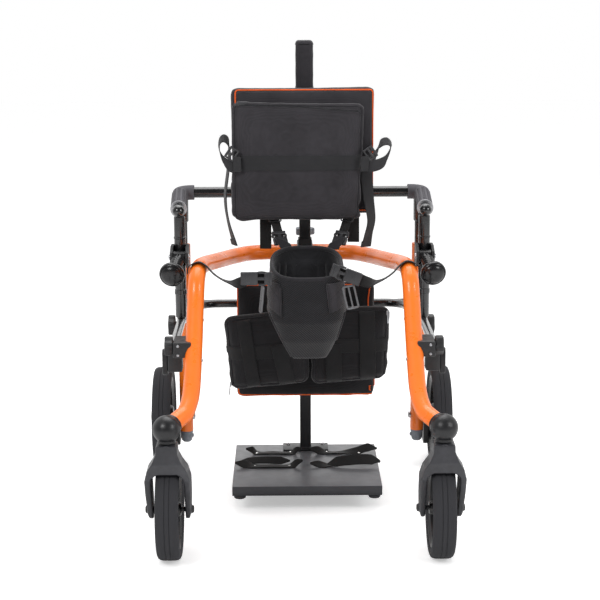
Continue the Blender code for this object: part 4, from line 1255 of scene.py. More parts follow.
@dataclass
class SideRail:
    """The black rail round the back with its stubs, struts, collars, clamps and levers."""

    radius: float = 0.0095
    height: float = 0.387
    back_y: float = 0.29
    arm_x: float = 0.264
    post_y: float = 0.095
    front_y: float = -0.19
    leg: Spot = (0.27, 0.3115)
    strut_x: float = 0.195
    stub_top: float = 0.545

    def build_rail(self) -> None:
        """Build the rail's tubes and collars as one welded piece."""
        corners = [(0.0, self.back_y, self.height), (0.232, self.back_y, self.height),
                   (self.arm_x, self.post_y, self.height), (self.arm_x, self.front_y, self.height)]
        half = bent_path(corners, 0.05)
        path = [mirrored(place, -1.0) for place in reversed(half)] + half[1:]
        tubes = [tube("rail_bow", path, self.radius, Look.BLACK_TUBE, 32)]
        for sign in SIDES.values():
            leg = Vector((self.leg[0] * sign, self.leg[1], self.height))
            start = Vector((self.strut_x * sign, self.back_y, self.height))
            tubes.append(tube("rail_strut", [start, leg - (leg - start).normalized() * 0.0185], 0.0075,
                              Look.BLACK_TUBE, 24))
            stub = Vector((self.arm_x * sign, self.post_y, 0.0))
            ends = [stub + Z_AXIS * self.height, stub + Z_AXIS * self.stub_top]
            tubes.append(tube("rail_stub", ends, 0.0088, Look.BLACK_TUBE, 24))
            ring = [(0.0192, 0.011), (0.0205, 0.01), (0.0205, -0.01), (0.0192, -0.011),
                    (0.0158, -0.011), (0.0158, 0.011)]
            tubes.append(new_piece("rail_collar", revolve(ring, Matrix.Translation(leg), 40, True),
                                   Look.BLACK_TUBE))
        dress(merge("rail_weldment", tubes), "frame", "black_gloss", "side_rail")

    def build_clamps(self) -> None:
        """Build the clamps on the tube, their screws and the small levers."""
        for side, sign in SIDES.items():
            dress(refined(f"{side}_front_clamp", Look.BLACK_PLASTIC, 0.0009), "frame", "black_plastic",
                  f"{side}_front_clamp")
            spots = [((0.25 * sign, -0.2432, z), -Y_AXIS) for z in (0.389, 0.407)]
            screws(f"{side}_clamp_screws", "frame", spots, 0.003)
            dress(refined(f"{side}_clamp_lever", Look.BLACK_PLASTIC, 0.0011, 3), f"{side}_clamp",
                  "black_plastic", f"{side}_clamp_lever")

    def build(self) -> None:
        """Build the rail and what holds it."""
        self.build_rail()
        self.build_clamps()


@dataclass
class StarKnob:
    """A star knob with round lobes, a hub cap and its bolt."""

    piece: str
    node: str
    body: str
    centre: Triple
    outward: Triple
    radius: float
    thick: float = 0.016
    boss: float = 0.0
    bolt: float = 0.0
    lobes: int = 5
    dip: float = 0.16
    look: Look = Look.BLACK_PLASTIC

    def outline(self, share: float, steps: int = 80) -> List[Spot]:
        """Return the star's outline at a share of its radius.

        Args:
            share: The share of the radius.
            steps: The number of corners.

        Returns:
            The corners.
        """
        points = []
        for step in range(steps):
            angle = math.tau * step / steps
            dip = self.dip * (0.5 - 0.5 * math.cos(self.lobes * angle))
            points.append((self.radius * share * (1.0 - dip) * math.cos(angle),
                           self.radius * share * (1.0 - dip) * math.sin(angle)))
        return points

    def build(self) -> None:
        """Build the knob and dress it."""
        half = self.thick / 2.0
        shape = bmesh.new()
        levels = ((0.5, half - 0.0016), (0.62, half), (0.9, half), (0.965, half - 0.0006),
                  (1.0, half - 0.0028), (1.0, -half + 0.0028), (0.965, -half + 0.0006), (0.9, -half))
        rows = [[shape.verts.new((x, y, height)) for x, y in self.outline(share)]
                for share, height in levels]
        for upper, lower in neighbours(rows, False):
            bridge(shape, upper, lower, len(upper))
        shape.faces.new(rows[0])
        shape.faces.new(list(reversed(rows[-1])))
        bmesh.ops.recalc_face_normals(shape, faces=shape.faces)
        shape.transform(axis_place(self.centre, self.outward))
        foot, tip = -half - self.boss, -half - self.boss - self.bolt
        stem = [(0.0, 0.002 - half), (0.0095, 0.002 - half), (0.0086, foot)]
        stem += [(0.004, foot), (0.004, tip), (0.0, tip)] if self.bolt else [(0.0, foot)]
        absorb(shape, revolve(stem, axis_place(self.centre, self.outward), 32))
        dress(new_piece(self.piece, shape, self.look, 28.0), self.body, "black_plastic", self.node)


@dataclass
class Wheel:
    """A wheel: tyre with a grooved tread, and a spoked rim with its hub."""

    name: str
    body: str
    nodes: Tuple[str, str]
    centre: Triple
    outward: Triple
    radius: float
    half_width: float
    seat: float
    hub: float
    spokes: int = 5
    spoke: Pair = (0.013, 0.0056)
    spoke_shift: float = 0.007
    web: float = 0.0125
    groove: float = 0.0011

    def tyre_profile(self) -> List[Spot]:
        """Return the tyre's section, with two tread grooves and rounded shoulders.

        Returns:
            Radius and height pairs of a closed ring.
        """
        wide = self.half_width
        top = self.radius
        deep = top - self.groove
        half = [(top, 0.0), (top, wide * 0.16), (deep, wide * 0.18), (deep, wide * 0.22),
                (top - 0.0001, wide * 0.24), (top - 0.0003, wide * 0.55), (top - 0.0014, wide * 0.76),
                (top - 0.004, wide * 0.92), (top - 0.0078, wide), (top - 0.0125, wide * 0.985),
                (top - 0.0132, wide * 0.95), (top - 0.014, wide * 0.97),
                (self.seat + 0.0012, wide * 0.93), (self.seat, wide * 0.86)]
        mirror = [(reach, -height) for reach, height in reversed(half[1:])]
        return mirror + half

    def build_tyre(self) -> None:
        """Build the tyre."""
        shape = revolve(self.tyre_profile(), axis_place(self.centre, self.outward), 112, True)
        tyre = new_piece(f"{self.name}_tyre", shape, Look.TYRE, 28.0)
        dress(tyre, self.body, "tyre_rubber", self.nodes[0])

    def build_rim(self) -> None:
        """Build the rim ring, web, spokes and hub."""
        place = axis_place(self.centre, self.outward)
        wide = self.half_width * 0.86
        lip = self.seat - 0.0004
        half = [(lip, wide), (lip - 0.004, wide), (lip - 0.0062, wide - 0.0022),
                (lip - 0.0115, wide - 0.005), (lip - self.web, 0.005), (self.hub + 0.004, 0.0042)]
        mirror = [(reach, -height) for reach, height in reversed(half)]
        shape = revolve(half + mirror, place, 96, True)
        core = [(0.0, self.half_width * 1.02), (self.hub * 0.55, self.half_width * 1.02),
                (self.hub * 0.86, self.half_width * 0.92), (self.hub, self.half_width * 0.7),
                (self.hub * 1.1, 0.0046), (self.hub * 1.1, -0.0046),
                (self.hub * 0.9, -self.half_width * 0.8), (self.hub * 0.8, -self.half_width),
                (0.0, -self.half_width)]
        absorb(shape, revolve(core, place, 56))
        rim = new_piece(f"{self.name}_rim", shape, Look.RIM, 32.0)
        dress(rim, self.body, "rim_plastic", self.nodes[1])

    def build_spokes(self) -> None:
        """Build the spokes on both faces of the web with geometry nodes."""
        middle = (self.hub + self.seat - self.web) / 2.0
        length = self.seat - self.web - self.hub + 0.004
        path = ring_path(self.centre, self.outward, middle, 120)
        axis = Vector(self.outward)
        ups = [(place - Vector(self.centre)).normalized() for place in path]
        spacing = math.tau * middle / self.spokes * 0.9999
        made = []
        for sign in (1.0, -1.0):
            shifted = [place + axis * sign * self.spoke_shift for place in path]
            made.append(repeat(f"{self.name}_spokes", Item.BLOCK, shifted, ups, spacing,
                               (*self.spoke, length), Look.RIM, True))
        dress(merge(f"{self.name}_spoke_set", made), self.body, "rim_plastic")

    def build(self) -> None:
        """Build the whole wheel."""
        self.build_tyre()
        self.build_rim()
        self.build_spokes()


@dataclass
class Casters:
    """Both swivelling front wheels with their forks."""

    swivel: Triple = (0.2655, -0.3735, 0.2745)
    trail: float = 0.045
    wheel_radius: float = 0.1

    def build(self) -> None:
        """Build forks, axle screws, dimples and wheels."""
        for side, sign in SIDES.items():
            body = f"{side}_caster"
            axle = mirrored((self.swivel[0], self.swivel[1] + self.trail, self.wheel_radius), sign)
            dress(moulded(f"{side}_caster_fork", Look.GREY_PLASTIC), body, "grey_plastic",
                  f"{side}_caster_fork")
            caps = [(axle + X_AXIS * 0.043 * way, X_AXIS * way) for way in (1.0, -1.0)]
            screws(f"{side}_caster_axle_caps", body, caps, 0.0078, Look.BLACK_PLASTIC, "black_plastic")
            ring = [(0.0046, 0.0), (0.0052, 0.001), (0.0062, 0.0012), (0.007, 0.0), (0.0058, -0.001)]
            place = Vector((self.swivel[0] * sign, -0.3946, 0.24))
            dimple = new_piece(f"{side}_fork_eye", revolve(ring, axis_place(place, -Y_AXIS), 32, True),
                               Look.GREY_PLASTIC)
            dress(dimple, body, "grey_plastic")
            Wheel(f"{side}_front_wheel", f"{side}_caster_wheel",
                  (f"{side}_caster_tyre", f"{side}_caster_rim"), axle, X_AXIS, self.wheel_radius, 0.023,
                  0.0795, 0.015).build()


@dataclass
class RearWheels:
    """Both rear wheels with hub caps, axle bolts and brake levers."""

    centre: Triple = (0.322, 0.3115, 0.115)
    leg_x: float = 0.27

    def build(self) -> None:
        """Build the wheels and what sits on their axles."""
        for side, sign in SIDES.items():
            centre = mirrored(self.centre, sign)
            Wheel(f"{side}_rear_wheel", f"{side}_rear_wheel", (f"{side}_rear_tyre", f"{side}_rear_rim"),
                  centre, X_AXIS * sign, 0.115, 0.0215, 0.0925, 0.027).build()
            cap = [(0.0, 0.0302), (0.012, 0.03), (0.019, 0.028), (0.0215, 0.024), (0.0218, 0.018),
                   (0.0, 0.018)]
            dress(new_piece(f"{side}_hub_cap", revolve(cap, axis_place(centre, X_AXIS * sign), 48),
                            Look.GREY_PLASTIC), f"{side}_rear_wheel", "rim_plastic")
            leg = Vector((self.leg_x * sign, centre.y, centre.z))
            axle = [(0.0, 0.0735), (0.006, 0.0735), (0.006, -0.0158), (0.0078, -0.0158),
                    (0.0078, -0.0192), (0.007, -0.0205), (0.0034, -0.0205), (0.0034, -0.018),
                    (0.0, -0.018)]
            dress(new_piece(f"{side}_axle_bolt", revolve(axle, axis_place(leg, X_AXIS * sign), 40),
                            Look.SCREW, 25.0), "frame", "steel", f"{side}_rear_axle")
            dress(refined(f"{side}_brake_lever", Look.BLACK_PLASTIC, 0.0012, 3), f"{side}_brake",
                  "black_plastic", f"{side}_brake_lever")


@dataclass
class Knobs:
    """The five star knobs."""

    def build(self) -> None:
        """Build the mast knob, the front clamp knobs and the rear leg knobs."""
        StarKnob("mast_star_knob", "mast_knob", "mast_lock", (MAST_X, 0.2625, 0.5588), Z_AXIS, 0.0225,
                 0.0148, 0.0161, 0.0027, look=Look.GREY_PLUG).build()
        for side, sign in SIDES.items():
            StarKnob(f"{side}_front_star_knob", f"{side}_front_knob", f"{side}_front_lock",
                     mirrored((0.269, -0.222, 0.403), sign), X_AXIS * sign, 0.02, 0.016, 0.0002,
                     0.014).build()
            StarKnob(f"{side}_rear_star_knob", f"{side}_rear_knob", f"{side}_rear_lock",
                     mirrored((0.3, 0.3115, 0.332), sign), X_AXIS * sign, 0.024, 0.016, 0.006,
                     0.0048).build()


@dataclass
class HandleFrame:
    """The black handle frame: rear bar, arms, uprights, posts, sleeves and grips."""

    bar_radius: float = 0.0125
    bar_y: float = 0.316
    bar_z: float = 0.641
    corner_x: float = 0.277
    arm_front: Triple = (0.2655, 0.088, 0.631)
    leg: Spot = (0.27, 0.3115)
    post_y: float = 0.095
    sleeve_radius: float = 0.0168
    sleeve_rows: int = 10
    rib: Triple = (0.0036, 0.008, 0.0016)
    rib_pitch: float = 0.0072
    grip_ribs: int = 5
    grip_pivot: Triple = (0.264, 0.066, 0.5335)
    grip_disc: Triple = (0.275, -0.005, 0.509)

    def half_path(self) -> List[Vector]:
        """Return the left half of the bar, from its middle to the arm's front end."""
        return bent_path([(0.0, self.bar_y, self.bar_z), (self.corner_x, self.bar_y, self.bar_z),
                          self.arm_front], 0.028)

    def build_bar(self) -> None:
        """Build the bar with both arms, uprights and ball ends."""
        half = self.half_path()
        path = [mirrored(place, -1.0) for place in reversed(half)] + half[1:]
        pieces = [tube("bar_bow", path, self.bar_radius, Look.BLACK_TUBE, 36)]
        for sign in SIDES.values():
            place = Matrix.Translation(Vector((self.leg[0] * sign, self.leg[1], 0.0)))
            upright = [(0.0, self.bar_z), (0.0125, self.bar_z), (0.0125, 0.5765), (0.0118, 0.575),
                       (0.0095, 0.5735), (0.0095, 0.265), (0.0, 0.265)]
            pieces.append(new_piece("upright", revolve(upright, place, 36), Look.BLACK_TUBE))
            shape = bmesh.new()
            bmesh.ops.create_uvsphere(shape, u_segments=36, v_segments=24, radius=0.0131)
            bmesh.ops.translate(shape, vec=mirrored(self.arm_front, sign) - Y_AXIS * 0.005,
                                verts=shape.verts)
            pieces.append(new_piece("end_ball", shape, Look.BLACK_TUBE))
        dress(merge("handle_weldment", pieces), "handle", "black_gloss", "handle_bar")

    def build_sleeves(self) -> None:
        """Build the arm sleeves with rings of raised ribs, made with geometry nodes."""
        for side, sign in SIDES.items():
            half = [mirrored(place, sign) for place in self.half_path()]
            inner = half[0].lerp(half[1], 0.985)
            path = [inner] + half[1:-1] + [half[-1].lerp(half[-2], 0.105)]
            pieces = [tube(f"{side}_sleeve_skin", path, self.sleeve_radius, Look.GRIP, 40)]
            straight = [path[-1].lerp(path[-2], share / 60.0) for share in range(4, 57)]
            run = (path[-2] - path[-1]).normalized()
            for turn in range(self.sleeve_rows):
                angle = math.tau * turn / self.sleeve_rows
                out = Matrix.Rotation(angle, 3, run) @ Z_AXIS
                line = [place + out * self.sleeve_radius for place in straight]
                pieces.append(repeat(f"{side}_sleeve_ribs", Item.STITCH, line, [out] * len(line),
                                     self.rib_pitch, self.rib, Look.GRIP, seed=turn))
            dress(merge(f"{side}_arm_grip_sleeve", pieces), "handle", "grip_rubber",
                  f"{side}_arm_sleeve")
            end = path[-1] + (path[-1] - path[-2]).normalized() * 0.0004
            ring = [(0.0178, 0.0022), (0.0178, -0.0022), (0.0126, -0.0022), (0.0126, 0.0022)]
            dress(new_piece(f"{side}_sleeve_ring", revolve(ring, axis_place(end, run), 40, True),
                            Look.SCREW), "handle", "steel")

    def build_posts(self) -> None:
        """Build the posts with their weld rings and the clevises."""
        for side, sign in SIDES.items():
            foot = Vector((self.grip_pivot[0] * sign, self.post_y, 0.0))
            profile = [(0.0, 0.6177), (0.0112, 0.6177), (0.0122, 0.6165), (0.0122, 0.398),
                       (0.0114, 0.3968), (0.0096, 0.3968), (0.0096, 0.56), (0.0, 0.56)]
            shape = revolve(profile, Matrix.Translation(foot), 40)
            for low, high in ((0.447, 0.4585), (0.569, 0.574)):
                ring = [(0.0122, high), (0.0134, high - 0.0008), (0.0134, low + 0.0008),
                        (0.0122, low)]
                absorb(shape, revolve(ring, Matrix.Translation(foot), 40, True))
            dress(new_piece(f"{side}_post_tube", shape, Look.BLACK_TUBE), "handle", "black_gloss",
                  f"{side}_handle_post")
            dress(refined(f"{side}_grip_clevis", Look.BLACK_PLASTIC, 0.0012, 3), "handle",
                  "black_plastic", f"{side}_grip_clevis")
            pin = mirrored(self.grip_pivot, sign)
            ends = [(pin + X_AXIS * 0.0193 * way, X_AXIS * way) for way in (1.0, -1.0)]
            screws(f"{side}_clevis_screws", "handle", ends, 0.0058)

    def build_grips(self) -> None:
        """Build the hand grips with their ribs and domed end discs."""
        for side, sign in SIDES.items():
            centre = mirrored(self.grip_pivot, sign)
            run = mirrored(self.grip_disc, sign) - centre
            top = run.length + 0.011
            profile = [(0.0, top + 0.0052), (0.0016, top + 0.0048), (0.0034, top + 0.0056),
                       (0.009, top + 0.0049), (0.0145, top + 0.0034), (0.019, top + 0.001),
                       (0.0222, top - 0.0018), (0.023, top - 0.0036), (0.024, top - 0.003),
                       (0.0256, top - 0.004), (0.0268, top - 0.0066), (0.0272, top - 0.01),
                       (0.0264, top - 0.015), (0.0228, top - 0.0205), (0.015, top - 0.0235)]
            for rib in range(self.grip_ribs):
                height = 0.06 - rib * 0.0085
                profile += [(0.0122, height + 0.0022), (0.0138, height - 0.0002),
                            (0.0139, height - 0.0042), (0.0122, height - 0.0062)]
            profile += [(0.0112, 0.019), (0.0108, 0.006), (0.0, 0.005)]
            shape = revolve(profile, axis_place(centre, run), 56)
            eye = [(0.0, 0.0129), (0.0122, 0.0129), (0.013, 0.012), (0.013, -0.012), (0.0122, -0.0129),
                   (0.0, -0.0129)]
            absorb(shape, revolve(eye, axis_place(centre, X_AXIS), 40))
            dress(new_piece(f"{side}_ball_grip", shape, Look.GRIP_BALL, 40.0), f"{side}_grip",
                  "black_gloss", f"{side}_hand_grip")

    def build(self) -> None:
        """Build the whole handle frame."""
        self.build_bar()
        self.build_sleeves()
        self.build_posts()
        self.build_grips()


@dataclass
class Mast:
    """The square mast with its foot flange, clamp, carriages and padded head."""

    half: float = 0.0125
    foot: float = 0.0593
    top: float = 0.93
    head_low: float = 0.8805
    head_high: float = 0.987
    head_half: float = 0.019

    def corners(self, half: float, height: float) -> List[Vector]:
        """Return the corners of a square round the mast at a height.

        Args:
            half: Half the square's side.
            height: Its height.

        Returns:
            The four corners.
        """
        return [Vector((MAST_X + half * x, MAST_Y + half * y, height))
                for x, y in ((-1.0, -1.0), (1.0, -1.0), (1.0, 1.0), (-1.0, 1.0))]

    def build_head(self) -> None:
        """Build the padded cover on the mast's head, with its stitched edge."""
        mid = Vector((MAST_X, MAST_Y, (self.head_low + self.head_high) / 2.0))
        tall = self.head_high - self.head_low
        shape = block((self.head_half * 2.0, self.head_half * 2.0, tall), Matrix.Identity(4), 0.0075, 5)
        long = [edge for edge in shape.edges if edge.calc_length() > 0.02]
        bmesh.ops.subdivide_edges(shape, edges=long, cuts=7, use_grid_fill=True)
        for vertex in shape.verts:
            ripple = noise.noise(Vector((vertex.co.x * 30.0, vertex.co.y * 30.0, vertex.co.z * 55.0)))
            slack = 0.0006 * ripple + 0.0006 * math.sin(vertex.co.z / tall * 9.0)
            vertex.co.x += math.copysign(slack, vertex.co.x)
            vertex.co.y += math.copysign(slack, vertex.co.y)
        bmesh.ops.translate(shape, vec=mid, verts=shape.verts)
        cover = new_piece("mast_head_cushion", shape, Look.PAD, 60.0)
        dress(cover, "mast", "charcoal_fabric", "mast_head_cover")
        hems = []
        for height in (self.head_low + 0.0045, self.head_high - 0.0085):
            path = self.corners(self.head_half + 0.0002, height)
            loop = [start.lerp(end, 0.22 + 0.56 * step / 6.0) for start, end in neighbours(path, True)
                    for step in range(7)]
            hems.append(tube("head_hem", loop, 0.0011, Look.THREAD, 10, True))
        dress(merge("mast_head_hems", hems), "mast", "charcoal_fabric")

    def build_tube(self) -> None:
        """Build the mast with its rounded corners and welded foot."""
        low = self.foot
        shape = corner_box((MAST_X - self.half, MAST_Y - self.half, low + 0.001),
                           (MAST_X + self.half, MAST_Y + self.half, self.top), 0.0022, 3)
        absorb(shape, corner_box((MAST_X - 0.0515, 0.202, low), (MAST_X + 0.0515, 0.257, low + 0.004),
                                 0.0009, 2))
        mast = new_piece("mast_profile", shape, Look.MAST)
        bead = tube("mast_weld", self.corners(self.half, low + 0.0046), 0.0021, Look.MAST, 12, True)
        dress(merge("mast_weldment", [mast, bead]), "mast", "black_gloss", "mast_tube")
        spots = [((MAST_X + x, 0.2455, low + 0.004), Z_AXIS) for x in (-0.04, 0.04)]
        screws("flange_screws", "mast", spots, 0.0046)

    def build_holders(self) -> None:
        """Build the clamp on the horseshoe and the two pad carriages."""
        dress(refined("mast_clamp", Look.BLACK_PLASTIC, 0.0012, 3), "frame", "black_plastic",
              "mast_clamp")
        for name, body, low, high in (("chest_carriage", "chest_pads", 0.7, 0.76),
                                      ("lower_carriage", "lower_pads", 0.3, 0.36)):
            dress(refined(name, Look.BLACK_PLASTIC, 0.0012, 3), body, "black_plastic", name)
            spots = [((MAST_X + x, 0.203, z), Y_AXIS) for x in (-0.043, 0.043)
                     for z in (low + 0.008, high - 0.008)]
            screws(f"{name}_screws", body, spots, 0.0044)

    def build(self) -> None:
        """Build the mast and what slides on it."""
        self.build_head()
        self.build_tube()
        self.build_holders()


@dataclass
class Footplate:
    """The folded footplate on four rubber feet."""

    low: Triple = (MAST_X - 0.16, -0.06, 0.0385)
    high: Triple = (MAST_X + 0.16, 0.258, 0.059)
    wall: float = 0.003
    feet_x: float = 0.144
    feet_y: Pair = (-0.042, 0.24)

    def build(self) -> None:
        """Build the folded sheet and the feet."""
        low, high = Vector(self.low), Vector(self.high)
        shape = bmesh.new()
        bmesh.ops.create_cube(shape, size=1.0)
        bmesh.ops.scale(shape, vec=high - low, verts=shape.verts)
        bmesh.ops.translate(shape, vec=(low + high) / 2.0, verts=shape.verts)
        floor = [face for face in shape.faces if face.normal.z < -0.5]
        bmesh.ops.delete(shape, geom=floor, context="FACES_ONLY")
        folds = [edge for edge in shape.edges if not edge.is_boundary]
        bmesh.ops.bevel(shape, geom=folds, offset=0.0012, segments=3, profile=0.5, affect="EDGES")
        sheet = new_piece("footplate_sheet", shape, Look.PLATE, 30.0)
        # Faces that don't face up take the darker copy of the paint: painted shade on the sheet's
        # sides.
        sheet.data.materials.append(Look.PLATE_SIDE_SHADE.material)
        for polygon in sheet.data.polygons:
            polygon.material_index = 0 if polygon.normal.z > 0.5 else 1
        wall = sheet.modifiers.new("sheet", "SOLIDIFY")
        wall.thickness = self.wall
        wall.offset = -1.0
        dress(bake(sheet), "mast", "plate_paint", "footplate")
        feet = bmesh.new()
        foot = [(0.0, 0.057), (0.0125, 0.057), (0.013, 0.0385), (0.013, 0.0325), (0.0124, 0.03),
                (0.0108, 0.0286), (0.0, 0.0285)]
        for x in (MAST_X - self.feet_x, MAST_X + self.feet_x):
            for y in self.feet_y:
                absorb(feet, revolve(foot, Matrix.Translation((x, y, 0.0)), 36))
        dress(new_piece("footplate_feet", feet, Look.TYRE), "mast", "plate_paint")


# Soft goods

def plate(outline: Outline, thick: float, place: Matrix, bevel: float, segments: int = 3) -> Shape:
    """Return a flat outline given a thickness about local Z, with rounded edges.

    Args:
        outline: Corners in the local XY plane.
        thick: The thickness.
        place: The matrix that places it.
        bevel: The radius of its edges.
        segments: The steps of each rounded edge.

    Returns:
        The mesh.
    """
    shape = bmesh.new()
    base = shape.faces.new([shape.verts.new((x, y, -thick / 2.0)) for x, y in outline])
    grown = bmesh.ops.extrude_face_region(shape, geom=[base])["geom"]
    lifted = [item for item in grown if isinstance(item, bmesh.types.BMVert)]
    bmesh.ops.translate(shape, vec=Z_AXIS * thick, verts=lifted)
    bmesh.ops.recalc_face_normals(shape, faces=shape.faces)
    flat = [edge for edge in shape.edges if len(edge.link_faces) == 2 and edge.calc_face_angle() > 0.6]
    bmesh.ops.bevel(shape, geom=flat, offset=bevel, segments=segments, profile=0.5, affect="EDGES")
    shape.transform(place)
    return shape


def rounded_outline(half_x: float, half_y: float, radius: float, steps: int = 6) -> List[Spot]:
    """Return the corners of a rounded rectangle.

    Args:
        half_x: Half its width.
        half_y: Half its height.
        radius: Its corners' radius.
        steps: The steps of each corner.

    Returns:
        The corners, round the middle.
    """
    corners = []
    for quarter, (sx, sy) in enumerate(((1.0, 1.0), (-1.0, 1.0), (-1.0, -1.0), (1.0, -1.0))):
        for step in range(steps + 1):
            angle = math.pi / 2.0 * (quarter + step / steps)
            corners.append((sx * (half_x - radius) + radius * math.cos(angle),
                            sy * (half_y - radius) + radius * math.sin(angle)))
    return corners


class Skin:
    """The surface of a finished soft piece, read by rays along one direction."""

    def __init__(self, piece: Piece, way: Triple = (0.0, 1.0, 0.0)) -> None:
        """Keep the surface of a piece and the way that rays travel."""
        self.tree = BVHTree.FromObject(piece, bpy.context.evaluated_depsgraph_get())
        self.way = Vector(way).normalized()

    def drop(self, place: Vector, lift: float) -> Tuple[Vector, Vector]:
        """Return where a place lands on the surface, raised by a lift, and the way out there.

        Args:
            place: The place.
            lift: How far the result stands off the surface.

        Returns:
            The place on the surface and the way out of it.
        """
        spot, normal, _, _ = self.tree.ray_cast(place - self.way * 0.5, self.way)
        if spot is None:
            spot, normal, _, _ = self.tree.find_nearest(place)
        if normal.dot(self.way) > 0.0:
            normal = -normal
        return spot + normal * lift, normal

    def trace(self, route: Sequence[Triple], step: float, lift: float,
              closed: bool = False) -> Tuple[List[Vector], List[Vector]]:
        """Return places and ways out along a route of corners laid on the surface.

        Args:
            route: The corners.
            step: The distance between places.
            lift: How far the places stand off the surface.
            closed: Whether the route closes on itself.

        Returns:
            The places and the ways out.
        """
        points = [Vector(corner) for corner in route]
        places, ups = [], []
        for start, end in neighbours(points, closed):
            count = max(1, int((end - start).length / step))
            for index in range(count):
                spot, normal = self.drop(start.lerp(end, index / count), lift)
                places.append(spot)
                ups.append(normal)
        if not closed:
            spot, normal = self.drop(points[-1], lift)
            places.append(spot)
            ups.append(normal)
        return places, ups


def strap(name: str, knots: Sequence[Knot], look: Look, steps: int = 10, width: float = 0.025,
          thick: float = 0.0018, skin: Optional[Skin] = None, lift: float = 0.0012,
          slack: float = 0.0, taper: float = 0.0) -> Piece:
    """Return a woven band through knots, with its own UV map in metres.

    Args:
        name: The piece's name.
        knots: Pairs of a place and the direction across the band there.
        look: The finish.
        steps: The steps from one knot to the next.
        width: The band's width.
        thick: Its thickness.
        skin: The surface that it lies on, if it does.
        lift: How far it stands off that surface.
        slack: The height of its soft waves.
        taper: The share of its width that is lost at both ends.

    Returns:
        The piece.
    """
    places = smooth_path([knot[0] for knot in knots], steps)
    total = sum((after - before).length for before, after in zip(places, places[1:]))
    acrosses = smooth_path([knot[1] for knot in knots], steps)
    shape = bmesh.new()
    rows = []
    reach = 0.0
    lengths = []
    for index, (place, across) in enumerate(zip(places, acrosses)):
        reach += (place - places[index - 1]).length if index else 0.0
        lengths.append(reach)
        side = across.normalized()
        before, after = places[max(index - 1, 0)], places[min(index + 1, len(places) - 1)]
        out = side.cross(after - before).normalized()
        row = []
        full = 1.0 - taper * (1.0 - min(1.0, reach / TAPER_RUN, (total - reach) / TAPER_RUN))
        for cell in range(BAND_CELLS + 1):
            share = cell / BAND_CELLS * 2.0 - 1.0
            spot = place + side * share * full * width / 2.0
            if skin:
                spot, _ = skin.drop(spot, lift)
            else:
                wave = noise.noise(Vector((reach * 22.0, share * 0.8, len(name) * 1.7)))
                spot = spot + out * slack * wave
            row.append(shape.verts.new(spot))
        rows.append(row)
    layer = shape.loops.layers.uv.new("strip")
    for index, (upper, lower) in enumerate(zip(rows, rows[1:])):
        near, far = lengths[index:index + 2]
        for cell in range(BAND_CELLS):
            face = shape.faces.new((upper[cell], upper[cell + 1], lower[cell + 1], lower[cell]))
            marks = ((near, cell), (near, cell + 1), (far, cell + 1), (far, cell))
            for loop, (along, column) in zip(face.loops, marks):
                loop[layer].uv = (along, width * column / BAND_CELLS)
    return thickened(new_piece(name, shape, look, 50.0), thick, 0.3)


def on_side(knots: Iterable[Knot], sign: float) -> List[Knot]:
    """Return a strap's knots on the side of the sign."""
    return [(mirrored(place, sign), mirrored(across, sign)) for place, across in knots]


def seam(name: str, skin: Skin, route: Sequence[Triple], closed: bool = False) -> Piece:
    """Return a line of stitches on a surface."""
    places, ups = skin.trace(route, TRACE_STEP, 0.0002, closed)
    return repeat(name, Item.STITCH, places, ups, WELT_PITCH, STITCH_SIZE, Look.THREAD, closed)


def press_seam(piece: Piece, route: Sequence[Triple], depth: float, wide: float,
               closed: bool = False) -> None:
    """Press a groove into the front of a soft piece along a route in the XZ plane.

    Args:
        piece: The piece.
        route: The corners of the line.
        depth: How deep it is.
        wide: The distance over which it fades.
        closed: Whether the route closes on itself.
    """
    points = [Vector((corner[0], corner[2])) for corner in route]
    pairs = neighbours(points, closed)
    for vertex in piece.data.vertices:
        if vertex.normal.y > -0.2:
            continue
        spot = Vector((vertex.co.x, vertex.co.z))
        near = 1.0
        for start, end in pairs:
            run = end - start
            share = max(0.0, min(1.0, (spot - start).dot(run) / run.length_squared))
            near = min(near, (spot - start - run * share).length)
        if near < wide:
            vertex.co.y += depth * (0.5 + 0.5 * math.cos(math.pi * near / wide))
    piece.data.update()


